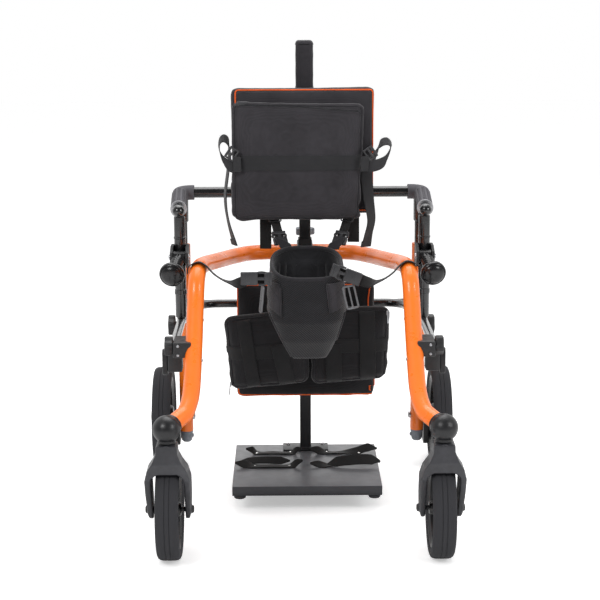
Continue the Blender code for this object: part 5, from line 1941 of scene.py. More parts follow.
@dataclass
class Cushion:
    """A foam pad in a sewn cover: crowned, with drawn-in sides, swollen by a cloth simulation."""

    name: str
    node: str
    body: str
    outline: Outline
    depth: Pair
    look: Look = Look.PAD
    crown: float = 0.003
    draw: float = 0.0015
    edge: float = 0.74
    round_by: float = 0.011
    corner: float = 0.012
    cap: float = 0.0045
    seam_hold: float = 0.045
    rim_share: float = 0.12
    cuts: int = 23
    voxel: float = 0.0065
    pressure: float = 4.0
    frames: int = 12
    wrinkle: float = 0.0009
    seed: float = 1.0

    @property
    def half(self) -> Vector:
        """Return half the size of the plain box that the pad starts as.

        Returns:
            Half its width, depth and height.
        """
        low_right, low_left, high_left, high_right = [Vector(spot) for spot in self.outline]
        wide = ((low_left - low_right).length + (high_left - high_right).length) / 4.0
        high = ((high_left - low_left).length + (high_right - low_right).length) / 4.0
        return Vector((wide, (self.depth[1] - self.depth[0]) / 2.0 - self.crown, high))

    def place(self, share: Vector) -> Vector:
        """Return the place of a corner of the unit cube on the pad.

        Args:
            share: The corner, -1 to 1 on each axis.

        Returns:
            The place on the pad.
        """
        half = self.half
        spread = Vector([math.sin(math.pi / 2.0 * value) for value in share])
        spot = Vector([spread[axis] * half[axis] for axis in range(3)])
        core = Vector([max(-half[axis] + self.round_by, min(half[axis] - self.round_by, spot[axis]))
                       for axis in range(3)])
        rim = spot - core
        if rim.length > 1e-9:
            spot = core + rim.normalized() * self.round_by
        over = Vector((max(0.0, abs(spot.x) - half.x + self.corner),
                       max(0.0, abs(spot.z) - half.z + self.corner)))
        if over.x > 0.0 and over.y > 0.0:
            shrink = max(over) / over.length
            spot.x -= math.copysign(over.x * (1.0 - shrink), spot.x)
            spot.z -= math.copysign(over.y * (1.0 - shrink), spot.z)
        across, up = spot.x / half.x, spot.z / half.z
        swell = max(0.0, (1.0 - across ** 4) * (1.0 - up ** 4))
        deep = spot.y / half.y
        y = deep * (half.y * self.edge + half.y * (1.0 - self.edge) * min(1.0, 3.0 * swell)
                    + self.crown * swell)
        across -= across * self.draw * (1.0 - up ** 2) / half.x
        up -= up * self.draw * (1.0 - across ** 2) / half.z
        flat = self.spot_at((across + 1.0) / 2.0, (up + 1.0) / 2.0)
        return Vector((flat.x, y + sum(self.depth) / 2.0, flat.y))

    def spot_at(self, across: float, up: float) -> Vector:
        """Return the place in the XZ plane at shares of the outline's width and height."""
        low_right, low_left, high_left, high_right = [Vector(spot) for spot in self.outline]
        return low_right.lerp(low_left, across).lerp(high_right.lerp(high_left, across), up)

    def ring(self, inset: float, radius: float) -> List[Vector]:
        """Return a rounded route that runs inside the pad's outline, in front of it.

        Args:
            inset: How far inside the outline it runs.
            radius: The radius of its corners.

        Returns:
            The corners of the route.
        """
        half = self.half
        return [Vector((spot.x, self.depth[0] - 0.03, spot.y)) for spot in
                [self.spot_at(0.5 + x / half.x / 2.0, 0.5 + z / half.z / 2.0)
                 for x, z in rounded_outline(half.x - inset, half.z - inset, radius)]]

    def rough(self) -> Piece:
        """Return the pad before it is swollen.

        Returns:
            The pad as a rounded box.
        """
        shape = bmesh.new()
        bmesh.ops.create_cube(shape, size=2.0)
        bmesh.ops.subdivide_edges(shape, edges=shape.edges, cuts=self.cuts, use_grid_fill=True)
        for vertex in shape.verts:
            vertex.co = self.place(vertex.co)
        bmesh.ops.recalc_face_normals(shape, faces=shape.faces)
        return new_piece(self.name, shape, self.look, 80.0)

    def swell(self, piece: Piece) -> None:
        """Swell the pad with a short cloth simulation and cap how far it moves.

        Args:
            piece: The pad.
        """
        remesh = piece.modifiers.new("remesh", "REMESH")
        remesh.mode = "VOXEL"
        remesh.voxel_size = self.voxel
        remesh.use_smooth_shade = True
        bake(piece)
        start = [vertex.co.copy() for vertex in piece.data.vertices]
        cloth = piece.modifiers.new("swell", "CLOTH")
        cloth.settings.use_pressure = True
        cloth.settings.uniform_pressure_force = self.pressure
        cloth.settings.effector_weights.gravity = 0.0
        cloth.settings.quality = 3
        for step in range(self.frames):
            bpy.context.scene.frame_set(step + 1)
        bake(piece)
        bpy.context.scene.frame_set(1)
        middle, half = self.spot_at(0.5, 0.5), self.half
        for vertex, old in zip(piece.data.vertices, start):
            move = vertex.co - old
            inside = min(half.x - abs(old.x - middle.x), half.z - abs(old.z - middle.y))
            limit = self.cap * max(self.rim_share, min(1.0, inside / self.seam_hold))
            if move.length > limit:
                vertex.co = old + move * (limit / move.length)
        rounder = piece.modifiers.new("rounder", "SUBSURF")
        rounder.levels = 1
        rounder.render_levels = 1
        bake(piece)

    def crease(self, piece: Piece) -> None:
        """Add the soft folds that a worn cover shows, strongest at the lower corners.

        Args:
            piece: The pad.
        """
        middle, half = self.spot_at(0.5, 0.5), self.half
        for vertex in piece.data.vertices:
            across = (vertex.co.x - middle.x) / half.x
            up = (vertex.co.z - middle.y) / half.z
            corner = max(0.0, abs(across) * 1.3 - 0.35) * max(0.0, 0.45 - up)
            turn = math.copysign(1.0, across)
            spot = Vector((vertex.co.x * 30.0 + vertex.co.z * 42.0 * turn, vertex.co.y * 20.0,
                           vertex.co.z * 8.0 - vertex.co.x * 6.0 * turn + self.seed * 5.3))
            fold = noise.noise(spot) * (0.3 + 2.6 * corner)
            ripple = noise.noise(Vector(vertex.co) * 70.0 + Vector((self.seed, 0.0, 0.0))) * 0.3
            vertex.co += vertex.normal * self.wrinkle * (fold + ripple)
        piece.data.update()

    def build(self) -> Piece:
        """Build the pad and return it.

        Returns:
            The finished pad.
        """
        piece = self.rough()
        self.swell(piece)
        self.crease(piece)
        repaint(piece, self.look.material)
        piece.data.shade_smooth()
        dress(piece, self.body, "charcoal_fabric", self.node)
        return piece


def piping(name: str, skin: Skin, route: Sequence[Triple], look: Look, radius: float) -> Piece:
    """Return a closed piping laid along a route on a pad."""
    places, _ = skin.trace(route, 0.006, radius * 0.35, True)
    return tube(name, places, radius, look, 14, True)


def rounded_route(low: Spot, high: Spot, radius: float, y: float) -> List[Vector]:
    """Return a rounded rectangle of places in a plane that faces the front.

    Args:
        low: The lower right corner in X and Z.
        high: The upper left corner.
        radius: The radius of the corners.
        y: The plane that it lies in.

    Returns:
        The places.
    """
    half_x, half_z = (high[0] - low[0]) / 2.0, (high[1] - low[1]) / 2.0
    middle = ((high[0] + low[0]) / 2.0, (high[1] + low[1]) / 2.0)
    return [Vector((middle[0] + x, y, middle[1] + z))
            for x, z in rounded_outline(half_x, half_z, radius)]


def band_piece(name: str, skin: Skin, start: Triple, end: Triple, width: float, lift: float,
               look: Look) -> Tuple[Piece, List[Piece]]:
    """Return a band of webbing sewn flat on a soft piece, and its two rows of stitches.

    Args:
        name: The band's name.
        skin: The surface that it lies on.
        start: Where its middle starts.
        end: Where its middle ends.
        width: Its width.
        lift: How far it stands off the surface.
        look: Its finish.

    Returns:
        The band and its rows of stitches.
    """
    first, last = Vector(start), Vector(end)
    across = Y_AXIS.cross(last - first).normalized()
    knots = [(first.lerp(last, share / 4.0), across) for share in range(5)]
    band = strap(name, knots, look, 8, width, 0.0017, skin, lift)
    rows = []
    for way in (-1.0, 1.0):
        shift = across * way * (width / 2.0 - 0.0022)
        places, ups = skin.trace([first + shift, last + shift], TRACE_STEP, lift + 0.0007)
        rows.append(repeat("band_stitch", Item.STITCH, places, ups, WELT_PITCH, STITCH_SIZE,
                           Look.THREAD))
    return band, rows


@dataclass
class BackPads:
    """The two pads behind the body with their orange piping."""

    depth: Pair = (0.1365, 0.1785)
    chest: Outline = ((-0.1535, 0.613), (0.157, 0.613), (0.1585, 0.8905), (-0.1535, 0.8885))
    lower: Outline = ((-0.145, 0.201), (0.161, 0.201), (0.161, 0.462), (-0.145, 0.462))

    def build(self) -> None:
        """Build both pads and their piping."""
        pads = (("chest_back", "chest_pads", self.chest, (-0.1422, 0.623), (0.154, 0.8835), 1.0),
                ("lower_back", "lower_pads", self.lower, (-0.1418, 0.2078), (0.1598, 0.456), 2.0))
        for name, body, outline, low, high, seed in pads:
            cushion = Cushion(f"{name}_cushion", f"{name}_pad", body, outline, self.depth,
                              Look.PAD if body == "chest_pads" else Look.LOWER_PAD, corner=0.009,
                              round_by=0.01, seed=seed)
            pad = cushion.build()
            route = rounded_route(low, high, 0.0065, 0.1)
            press_seam(pad, route, 0.0014, 0.005, True)
            skin = Skin(pad)
            dress(piping(f"{name}_piping", skin, route, Look.PIPING, 0.0016), body, "charcoal_fabric")
            inner = rounded_route((low[0] + 0.006, low[1] + 0.006), (high[0] - 0.006, high[1] - 0.006),
                                  0.004, 0.1)
            dress(seam(f"{name}_welt_stitches", skin, inner, True), body, "charcoal_fabric")


@dataclass
class Zipper:
    """A coil zipper laid on a soft piece: tapes, coil teeth and a slider with its puller."""

    name: str
    body: str
    route: Tuple[Triple, ...]
    slider: Triple
    hang: Triple = (0.0, 0.0, -1.0)
    look: Look = Look.SCREW

    def build(self, skin: Skin) -> None:
        """Build the zipper on the surface.

        Args:
            skin: The surface that it lies on.
        """
        places, ups = skin.trace(self.route, TRACE_STEP, 0.0006)
        sides = [up.cross(places[min(i + 1, len(places) - 1)] - places[max(i - 1, 0)]).normalized()
                 for i, up in enumerate(ups)]
        for kind, shift, spacing, size, look in (
                ("teeth", 0.0011, 0.0016, (0.0011, 0.0024, 0.0012), Look.BUCKLE),
                ("tape_stitches", 0.0058, STITCH_PITCH, STITCH_SIZE, Look.THREAD)):
            for letter, sign in (("a", -1.0), ("b", 1.0)):
                row = [spot + way * shift * sign for spot, way in zip(places, sides)]
                made = repeat(f"{self.name}_{kind}_{letter}", Item.STITCH, row, ups, spacing, size,
                              look)
                dress(made, self.body, "charcoal_fabric")
        spot, up = skin.drop(Vector(self.slider), 0.0016)
        run = Vector(self.hang)
        shape = block((0.0095, 0.0066, 0.003), frame_along(spot, run, up), 0.0011, 3)
        ring = plate(rounded_outline(0.0028, 0.0024, 0.0022), 0.0011,
                     frame_along(spot + run * 0.0058 + up * 0.0012, run, up), 0.0003)
        tab = plate(rounded_outline(0.0085, 0.0027, 0.0024), 0.0012,
                    frame_along(spot + run * 0.015 + up * 0.001, run, up), 0.0004)
        absorb(shape, ring)
        absorb(shape, tab)
        dress(new_piece(f"{self.name}_slider", shape, self.look, 30.0), self.body, "steel")


@dataclass
class ChestFrontPad:
    """The pad in front of the chest with its webbing band, zipper and seams."""

    outline: Outline = ((-0.151, 0.607), (0.126, 0.607), (0.1365, 0.86), (-0.151, 0.866))
    depth: Pair = (0.0765, 0.1035)
    band: Pair = (-0.1295, 0.1247)
    band_z: float = 0.7335

    def build(self) -> None:
        """Build the pad and everything sewn on it."""
        cushion = Cushion("chest_front_cushion", "chest_front_pad", "chest_pads", self.outline,
                          self.depth, round_by=0.01, corner=0.014, wrinkle=0.0021, seed=3.0)
        pad = cushion.build()
        edge = cushion.ring(0.008, 0.01)
        press_seam(pad, edge, 0.002, 0.0065, True)
        skin = Skin(pad)
        dress(piping("chest_front_edge_cord", skin, edge, Look.PAD_DARK, 0.0013), "chest_pads",
              "charcoal_fabric")
        dress(seam("chest_front_edge_stitches", skin, cushion.ring(0.0125, 0.007), True), "chest_pads",
              "charcoal_fabric")
        middle = [(x, 0.05, self.band_z) for x in self.band]
        band, lines = band_piece("chest_front_band", skin, middle[0], middle[1], 0.033, 0.0009,
                                 Look.WEB_PANEL)
        dress(band, "chest_pads", "webbing")
        for x in (self.band[0] + 0.004, 0.0545, 0.09, self.band[1] - 0.004):
            across = [(x, 0.05, self.band_z + reach) for reach in (-0.0138, 0.0138)]
            places, ups = skin.trace(across, TRACE_STEP, 0.0016)
            lines.append(repeat("band_cross_stitch", Item.STITCH, places, ups, STITCH_PITCH,
                                STITCH_SIZE, Look.THREAD))
        dress(merge("chest_front_band_stitches", lines), "chest_pads", "webbing")
        Zipper("chest_zipper", "chest_pads",
               ((-0.144, 0.05, 0.857), (0.0, 0.05, 0.852), (0.12, 0.05, 0.8425),
                (0.1272, 0.05, 0.835), (0.1262, 0.05, 0.762)), (-0.138, 0.05, 0.857),
               (1.0, 0.0, 0.1), Look.BUCKLE).build(skin)


@dataclass
class KneePads:
    """The two knee pads with their gussets, webbing and zipper."""

    depth: Pair = (0.056, 0.102)
    outlines: Mapping[str, Outline] = field(default_factory=lambda: {
        "right": ((-0.158, 0.237), (0.015, 0.25), (0.014, 0.4215), (-0.1735, 0.4005)),
        "left": ((0.018, 0.246), (0.185, 0.26), (0.1915, 0.4225), (0.0179, 0.4225))})
    uprights: Mapping[str, Sequence[Tuple[Spot, Spot, float]]] = field(default_factory=lambda: {
        "right": (((-0.1275, 0.393), (-0.1062, 0.25), 0.028),
                  ((-0.0525, 0.3427), (-0.0332, 0.2545), 0.033)),
        "left": (((0.1388, 0.412), (0.141, 0.265), 0.033),
                 ((0.0663, 0.343), (0.0686, 0.26), 0.033))})
    bands: Mapping[str, Tuple[Spot, Spot]] = field(default_factory=lambda: {
        "right": ((-0.164, 0.3217), (0.009, 0.333)), "left": ((0.024, 0.3385), (0.184, 0.34))})

    def dress_pad(self, side: str, cushion: Cushion, pad: Piece) -> Skin:
        """Add the seam round a pad and the webbing across it, and return its surface.

        Args:
            side: Left or right.
            cushion: The pad's sizes.
            pad: The finished pad.

        Returns:
            The pad's surface.
        """
        rim = cushion.ring(0.0085, 0.01)
        press_seam(pad, rim, 0.003, 0.0075, True)
        skin = Skin(pad)
        dress(piping(f"{side}_knee_rim_cord", skin, rim, Look.PAD_DARK, 0.0014), "lower_pads",
              "charcoal_fabric")
        dress(seam(f"{side}_knee_rim_stitches", skin, cushion.ring(0.013, 0.008), True), "lower_pads",
              "charcoal_fabric")
        pieces, lines = [], []
        runs = [(*self.bands[side], 0.03, 0.0008)] + [(*run, 0.0026) for run in self.uprights[side]]
        for index, (start, end, width, lift) in enumerate(runs):
            band, rows = band_piece(f"knee_band_{index}", skin, (start[0], 0.03, start[1]),
                                    (end[0], 0.03, end[1]), width, lift, Look.LOWER_WEB)
            pieces.append(band)
            lines.extend(rows)
        dress(merge_strips(f"{side}_knee_webbing", pieces), "lower_pads", "webbing")
        dress(merge(f"{side}_knee_webbing_stitches", lines), "lower_pads", "webbing")
        return skin

    def build(self) -> None:
        """Build both pads."""
        for side, seed in (("right", 4.0), ("left", 5.0)):
            cushion = Cushion(f"{side}_knee_cushion", f"{side}_knee_pad", "lower_pads",
                              self.outlines[side], self.depth, Look.LOWER_PAD, crown=0.0045,
                              round_by=0.0145, corner=0.016, wrinkle=0.0014, seed=seed)
            skin = self.dress_pad(side, cushion, cushion.build())
            if side == "right":
                Zipper("knee_zipper", "lower_pads", ((-0.1655, 0.03, 0.388), (-0.154, 0.03, 0.251)),
                       (-0.156, 0.03, 0.25), (-0.08, 0.0, -1.0)).build(skin)
            else:
                Zipper("knee_side_zipper", "lower_pads", ((0.1835, 0.03, 0.413), (0.179, 0.03, 0.272)),
                       (0.183, 0.03, 0.408), (0.05, 0.0, -1.0)).build(skin)


def merge_strips(name: str, pieces: Sequence[Piece]) -> Piece:
    """Join webbing pieces into one and keep their UV maps.

    Args:
        name: The new piece's name.
        pieces: The bands, which are used up.

    Returns:
        The new piece.
    """
    shape = bmesh.new()
    for piece in pieces:
        shape.from_mesh(piece.data)
    made = new_piece(name, shape, Look.WEB, 50.0)
    repaint(made, pieces[0].data.materials[0])
    for piece in pieces:
        bpy.data.objects.remove(piece)
    return made


@dataclass
class Harness:
    """The pelvic harness: padded bowl, mesh front, wings, channelled lining and binding."""

    half_widths: Tuple[float, ...] = (0.076, 0.08, 0.083, 0.068, 0.042)
    fronts: Tuple[float, ...] = (-0.141, -0.143, -0.138, -0.112, -0.07)
    backs: Tuple[float, ...] = (0.056, 0.05, 0.038, 0.012, -0.02)
    low: float = 0.34
    leg_top: Spot = (0.076, 0.446)
    leg_foot: Mapping[str, Spot] = field(default_factory=lambda: {
        "left": (0.031, 0.28), "right": (0.002, 0.28)})
    thigh: Outline = ((-0.07, 0.362), (-0.026, 0.362), (-0.004, 0.39), (0.005, 0.446), (-0.105, 0.446),
                      (-0.0935, 0.39))
    wall: float = 0.009
    squareness: float = 0.62
    face_layer: Pair = (0.0, 0.0042)
    lining_layer: Pair = (0.0044, 0.0068)
    quilt: float = 0.0044
    binding: float = 0.0052
    columns: int = 144
    levels: int = 36
    ray_y: float = -0.3

    def read(self, values: Sequence[float], share: float) -> float:
        """Read a list of evenly spaced values at a share, smoothly.

        Args:
            values: The values.
            share: Where to read, 0 to 1.

        Returns:
            The value there.
        """
        spot = max(0.0, min(1.0, share)) * (len(values) - 1)
        index = min(int(spot), len(values) - 2)
        return values[index] + (values[index + 1] - values[index]) * (spot - index)

    def rim(self, sine: float) -> float:
        """Return the height of the rim."""
        return 0.5365 + 0.0175 * sine

    def place(self, angle: float, share: float, inset: float) -> Vector:
        """Return a place on the bowl, an inset inside its outer face.

        Args:
            angle: The angle round the bowl.
            share: The way down it, 0 to 1.
            inset: The distance inside its outer face.

        Returns:
            The place.
        """
        cosine, sine = math.cos(angle), math.sin(angle)
        front, back = self.read(self.fronts, share) + inset, self.read(self.backs, share) - inset
        width = self.read(self.half_widths, share) - inset
        x = MAST_X + width * math.copysign(abs(cosine) ** self.squareness, cosine)
        bow = math.copysign(abs(sine) ** self.squareness, sine)
        y = (front + back) / 2.0 + (back - front) / 2.0 * bow
        return Vector((x, y, self.rim(sine) + (self.low + inset * 0.6 - self.rim(sine)) * share))

    def angle_at(self, step: float) -> float:
        """Return evenly spread angles, closer together at the bowl's round corners."""
        turn = math.tau * step / self.columns
        return turn - 0.12 * math.sin(4.0 * turn)

    def shell(self, name: str, outer: float, inner: float, look: Look, quilt: float = 0.0) -> Piece:
        """Return one closed layer of the bowl between two insets, with the leg openings cut.

        Args:
            name: The piece's name.
            outer: The inset of its outer face.
            inner: The inset of its inner face.
            look: Its finish.
            quilt: The depth of the channels on its inner face.

        Returns:
            The piece.
        """
        shape = bmesh.new()
        skins = []
        for inset, depth in ((outer, 0.0), (inner, quilt)):
            rows = []
            for level in range(self.levels + 1):
                share = level / self.levels
                row = []
                for step in range(self.columns):
                    angle = self.angle_at(step)
                    swell = depth * abs(math.sin(angle * 11.0)) ** 0.7 if 0.12 < share < 0.75 else 0.0
                    row.append(shape.verts.new(self.place(angle, share, inset + swell)))
                rows.append(row)
            left, right = self.place(0.0, 1.0, inset), self.place(math.pi, 1.0, inset)
            rows.append([shape.verts.new(left.lerp(right, 0.5))])
            skins.append(rows)
        for rows in skins:
            for upper, lower in neighbours(rows, False):
                bridge(shape, upper, lower, self.columns)
        for i in range(self.columns):
            j = (i + 1) % self.columns
            shape.faces.new((skins[0][0][i], skins[0][0][j], skins[1][0][j], skins[1][0][i]))
        bmesh.ops.recalc_face_normals(shape, faces=shape.faces)
        piece = new_piece(name, shape, look, 60.0)
        face_front = Matrix.Rotation(math.pi / 2.0, 4, "X")
        face_side = Matrix(((0.0, 0.0, 1.0, MAST_X + 0.085), (1.0, 0.0, 0.0, 0.0),
                            (0.0, 1.0, 0.0, 0.0), (0.0, 0.0, 0.0, 1.0)))
        tools = [(self.thigh, 0.1, face_side)]
        for side, sign in SIDES.items():
            top, foot = self.leg_top, self.leg_foot[side]
            leg = (top, (0.2, top[1]), (0.2, foot[1]), foot)
            tools.append(([(MAST_X + x * sign, z) for x, z in leg], 0.6, face_front))
        for outline, thick, place in tools:
            tool = new_piece("leg_tool", plate(outline, thick, place, 0.0005, 1), look)
            opening = piece.modifiers.new("leg_opening", "BOOLEAN")
            opening.object = tool
            opening.operation = "DIFFERENCE"
            opening.solver = "EXACT"
            bake(piece)
            bpy.data.objects.remove(tool)
        repaint(piece, look.material)
        piece.data.shade_smooth()
        piece.data.set_sharp_from_angle(angle=math.radians(60.0))
        return piece

    def wall_place(self, x: float, z: float, back: bool, inset: float) -> Vector:
        """Return the place on the bowl's front or back at an X and a height.

        Args:
            x: The X of the place.
            z: Its height.
            back: Whether it is on the back.
            inset: The distance inside the outer face.

        Returns:
            The place.
        """
        sine = 1.0 if back else -1.0
        angle = 0.0
        for _ in range(14):
            share = (self.rim(sine) - z) / (self.rim(sine) - self.low)
            width = self.read(self.half_widths, share) - inset
            cosine = math.copysign(min(1.0, abs(x - MAST_X) / width) ** (1.0 / self.squareness),
                                   x - MAST_X)
            sine = math.copysign(math.sqrt(max(0.0, 1.0 - cosine * cosine)), sine)
            angle = math.atan2(sine, cosine)
        return self.place(angle, share, inset)

    def leg_edge(self, side: str, sign: float) -> List[Vector]:
        """Return the edge of a leg opening round the middle of the wall, from front to back.

        Args:
            side: Left or right.
            sign: The side's sign.

        Returns:
            The places along the edge.
        """
        inset = self.wall / 2.0
        top, foot = self.leg_top, self.leg_foot[side]
        places = []
        for step in range(17):
            z = self.low + 0.004 + (top[1] - self.low - 0.004) * step / 16.0
            x = foot[0] + (z - foot[1]) * (top[0] - foot[0]) / (top[1] - foot[1])
            places.append((x, z))
        front = [self.wall_place(MAST_X + x * sign, z, False, inset) for x, z in places]
        back = [self.wall_place(MAST_X + x * sign, z, True, inset) for x, z in reversed(places)]
        over = []
        first = math.atan2(front[-1].y + 0.045, (front[-1].x - MAST_X) * sign)
        last = math.atan2(back[0].y + 0.045, (back[0].x - MAST_X) * sign)
        for step in range(1, 12):
            turn = first + (last - first) * step / 12.0
            angle = turn if sign > 0.0 else math.pi - turn
            share = (self.rim(math.sin(angle)) - top[1]) / (self.rim(math.sin(angle)) - self.low)
            over.append(self.place(angle, share, inset))
        over = [spot for spot in over if (spot.x - MAST_X) * sign > top[0] - 0.001]
        return front + over + back

    def panel(self, name: str, outline: Outline, skin: Skin, lift: float, thick: float,
              look: Look) -> Piece:
        """Return a sewn-on panel whose outline is given in the XZ plane.

        Args:
            name: The piece's name.
            outline: Its corners in X and Z.
            skin: The surface that it is sewn on.
            lift: How far it stands off.
            thick: Its thickness.
            look: Its finish.

        Returns:
            The panel.
        """
        shape = bmesh.new()
        shape.faces.new([shape.verts.new((x, self.ray_y, z)) for x, z in outline])
        bmesh.ops.triangulate(shape, faces=shape.faces[:])
        bmesh.ops.subdivide_edges(shape, edges=shape.edges[:], cuts=9, use_grid_fill=True)
        for vertex in shape.verts:
            vertex.co, _ = skin.drop(vertex.co, lift)
        bmesh.ops.recalc_face_normals(shape, faces=shape.faces)
        return thickened(new_piece(name, shape, look, 60.0), thick, 0.35)

    def build_front(self, skin: Skin) -> None:
        """Build the wings, the binding between them and the mesh, and their stitches.

        Args:
            skin: The bowl's outer face.
        """
        wings = {
            "right": ((-0.05, 0.511), (-0.0447, 0.499), (-0.0434, 0.4425), (-0.0676, 0.458),
                      (-0.072, 0.48), (-0.069, 0.511)),
            "left": ((0.046, 0.511), (0.0505, 0.489), (0.0531, 0.45), (0.0747, 0.458),
                     (0.083, 0.485), (0.08, 0.511))}
        seams = {"right": ((-0.069, 0.506), (-0.044, 0.476)),
                 "left": ((0.082, 0.506), (0.0505, 0.476))}
        for side, outline in wings.items():
            dress(self.panel(f"{side}_harness_wing", outline, skin, 0.0016, 0.0036, Look.PAD), "mast",
                  "mesh_fabric")
            edge = [(x, self.ray_y, z) for x, z in outline[:3]]
            places, ups = skin.trace(edge, TRACE_STEP, 0.0032)
            dress(tube(f"{side}_wing_binding", places, 0.0017, Look.PAD_DARK, 12), "mast",
                  "mesh_fabric")
            lines = []
            inner = [(x + math.copysign(0.0035, x), z) for x, _, z in edge]
            for route in (inner, seams[side], outline[2:4]):
                places, ups = skin.trace([(x, self.ray_y, z) for x, z in route], TRACE_STEP, 0.0036)
                lines.append(repeat("wing_stitch", Item.STITCH, places, ups, STITCH_PITCH,
                                    STITCH_SIZE, Look.THREAD))
            dress(merge(f"{side}_wing_stitches", lines), "mast", "mesh_fabric")

    def build(self) -> None:
        """Build the whole harness."""
        outer = self.shell("harness_outer", *self.face_layer, Look.MESH)
        dress(outer, "mast", "mesh_fabric", "pelvic_harness")
        lining = self.shell("harness_lining", *self.lining_layer, Look.LINING, self.quilt)
        dress(lining, "mast", "mesh_fabric")
        rim = [self.place(self.angle_at(step), 0.0, self.wall / 2.0) for step in range(self.columns)]
        dress(tube("harness_rim_binding", rim, self.binding, Look.PAD_DARK, 16, True), "mast",
              "mesh_fabric")
        for side, sign in SIDES.items():
            edge = self.leg_edge(side, sign)
            dress(tube(f"{side}_leg_binding", edge, self.binding, Look.PAD_DARK, 16), "mast",
                  "mesh_fabric")
        self.build_front(Skin(outer))
        turns = [math.pi * i / 24.0 for i in range(25)]
        arch = [self.wall_place(MAST_X + 0.052 * math.cos(turn), 0.47 + 0.052 * math.sin(turn), True,
                                0.0078) for turn in turns]
        dress(tube("harness_arched_seam", arch, 0.0012, Look.PAD_DARK, 10), "mast", "mesh_fabric")


@dataclass
class Buckle:
    """A side-release buckle: a hollow female half, a male half with prongs, and both bars."""

    name: str
    body: str
    centre: Triple
    run: Triple
    up: Triple
    length: float = 0.034
    width: float = 0.03
    thick: float = 0.0085

    def build(self) -> None:
        """Build the buckle."""
        place = frame_along(self.centre, self.run, self.up)
        long, wide = self.length / 2.0, self.width / 2.0
        female = [(long, wide), (-long * 0.05, wide), (-long * 0.1, wide * 0.8),
                  (-long * 0.1, -wide * 0.8), (-long * 0.05, -wide), (long, -wide)]
        shape = plate(female, self.thick, place, 0.0016)
        for way in (1.0, -1.0):
            prong = [(-long * 0.15, wide * 0.8 * way), (-long * 0.1, wide * 1.06 * way),
                     (-long * 0.35, wide * 1.12 * way), (-long * 0.62, wide * 1.02 * way),
                     (-long * 0.62, wide * 0.74 * way)]
            absorb(shape, plate(prong[::int(way)], self.thick * 0.66, place, 0.0009))
        male = [(-long * 0.5, wide * 0.92), (-long, wide), (-long, -wide), (-long * 0.5, -wide * 0.92)]
        absorb(shape, plate(male, self.thick * 0.92, place, 0.0014))
        tongue = [(-long * 0.05, wide * 0.22), (-long * 0.6, wide * 0.26), (-long * 0.6, -wide * 0.26),
                  (-long * 0.05, -wide * 0.22)]
        absorb(shape, plate(tongue, self.thick * 0.8, place, 0.0008))
        for shift in (long * 0.42, long * 0.6, -long * 0.8):
            ridge = rounded_outline(0.0009, wide * 0.72, 0.0008)
            for face in (1.0, -1.0):
                spot = place @ Matrix.Translation((shift, 0.0, face * self.thick * 0.47))
                absorb(shape, plate(ridge, 0.0014, spot, 0.0004, 2))
        dress(new_piece(self.name, shape, Look.BUCKLE, 30.0), self.body, "black_plastic")


@dataclass
class Adjuster:
    """A rectangular ring with a middle bar, through which a strap is drawn tight."""

    name: str
    body: str
    centre: Triple
    run: Triple
    up: Triple
    length: float = 0.024
    width: float = 0.031
    bar: float = 0.0038
    look: Look = Look.BUCKLE

    def build(self) -> None:
        """Build the ring."""
        place = frame_along(self.centre, self.run, self.up)
        long, wide = self.length / 2.0, self.width / 2.0
        outline = rounded_outline(long - self.bar / 2.0, wide - self.bar / 2.0, 0.003, 4)
        loop = [place @ Vector((x, y, 0.0)) for x, y in outline]
        ring = tube("ring", loop, self.bar / 2.0, self.look, 14, True)
        middle = [place @ Vector((0.0, y, 0.0)) for y in (-wide + 0.002, wide - 0.002)]
        bar = tube("bar", middle, self.bar * 0.42, self.look, 12)
        dress(merge(self.name, [ring, bar]), self.body, "black_plastic")


@dataclass
class LadderLock:
    """A ladder lock: two side rails, three cross bars, the last one with a raised lip."""

    name: str
    body: str
    centre: Triple
    run: Triple
    length: float = 0.0225
    width: float = 0.027

    def build(self) -> None:
        """Build the lock."""
        place = frame_along(self.centre, self.run, -Y_AXIS)
        long, wide = self.length / 2.0, self.width / 2.0
        shape = bmesh.new()
        for way in (1.0, -1.0):
            spot = place @ Matrix.Translation((0.0, way * (wide - 0.0017), 0.0))
            absorb(shape, block((self.length, 0.0034, 0.0048), spot, 0.0012, 3))
        for shift, size, lift in ((-long + 0.0018, 0.0034, 0.0), (0.0, 0.0042, 0.0006),
                                  (long - 0.0024, 0.0052, 0.0014)):
            absorb(shape, block((size, self.width - 0.003, 0.0038),
                                place @ Matrix.Translation((shift, 0.0, lift)), 0.0012, 3))
        dress(new_piece(self.name, shape, Look.BUCKLE, 30.0), self.body, "black_plastic")


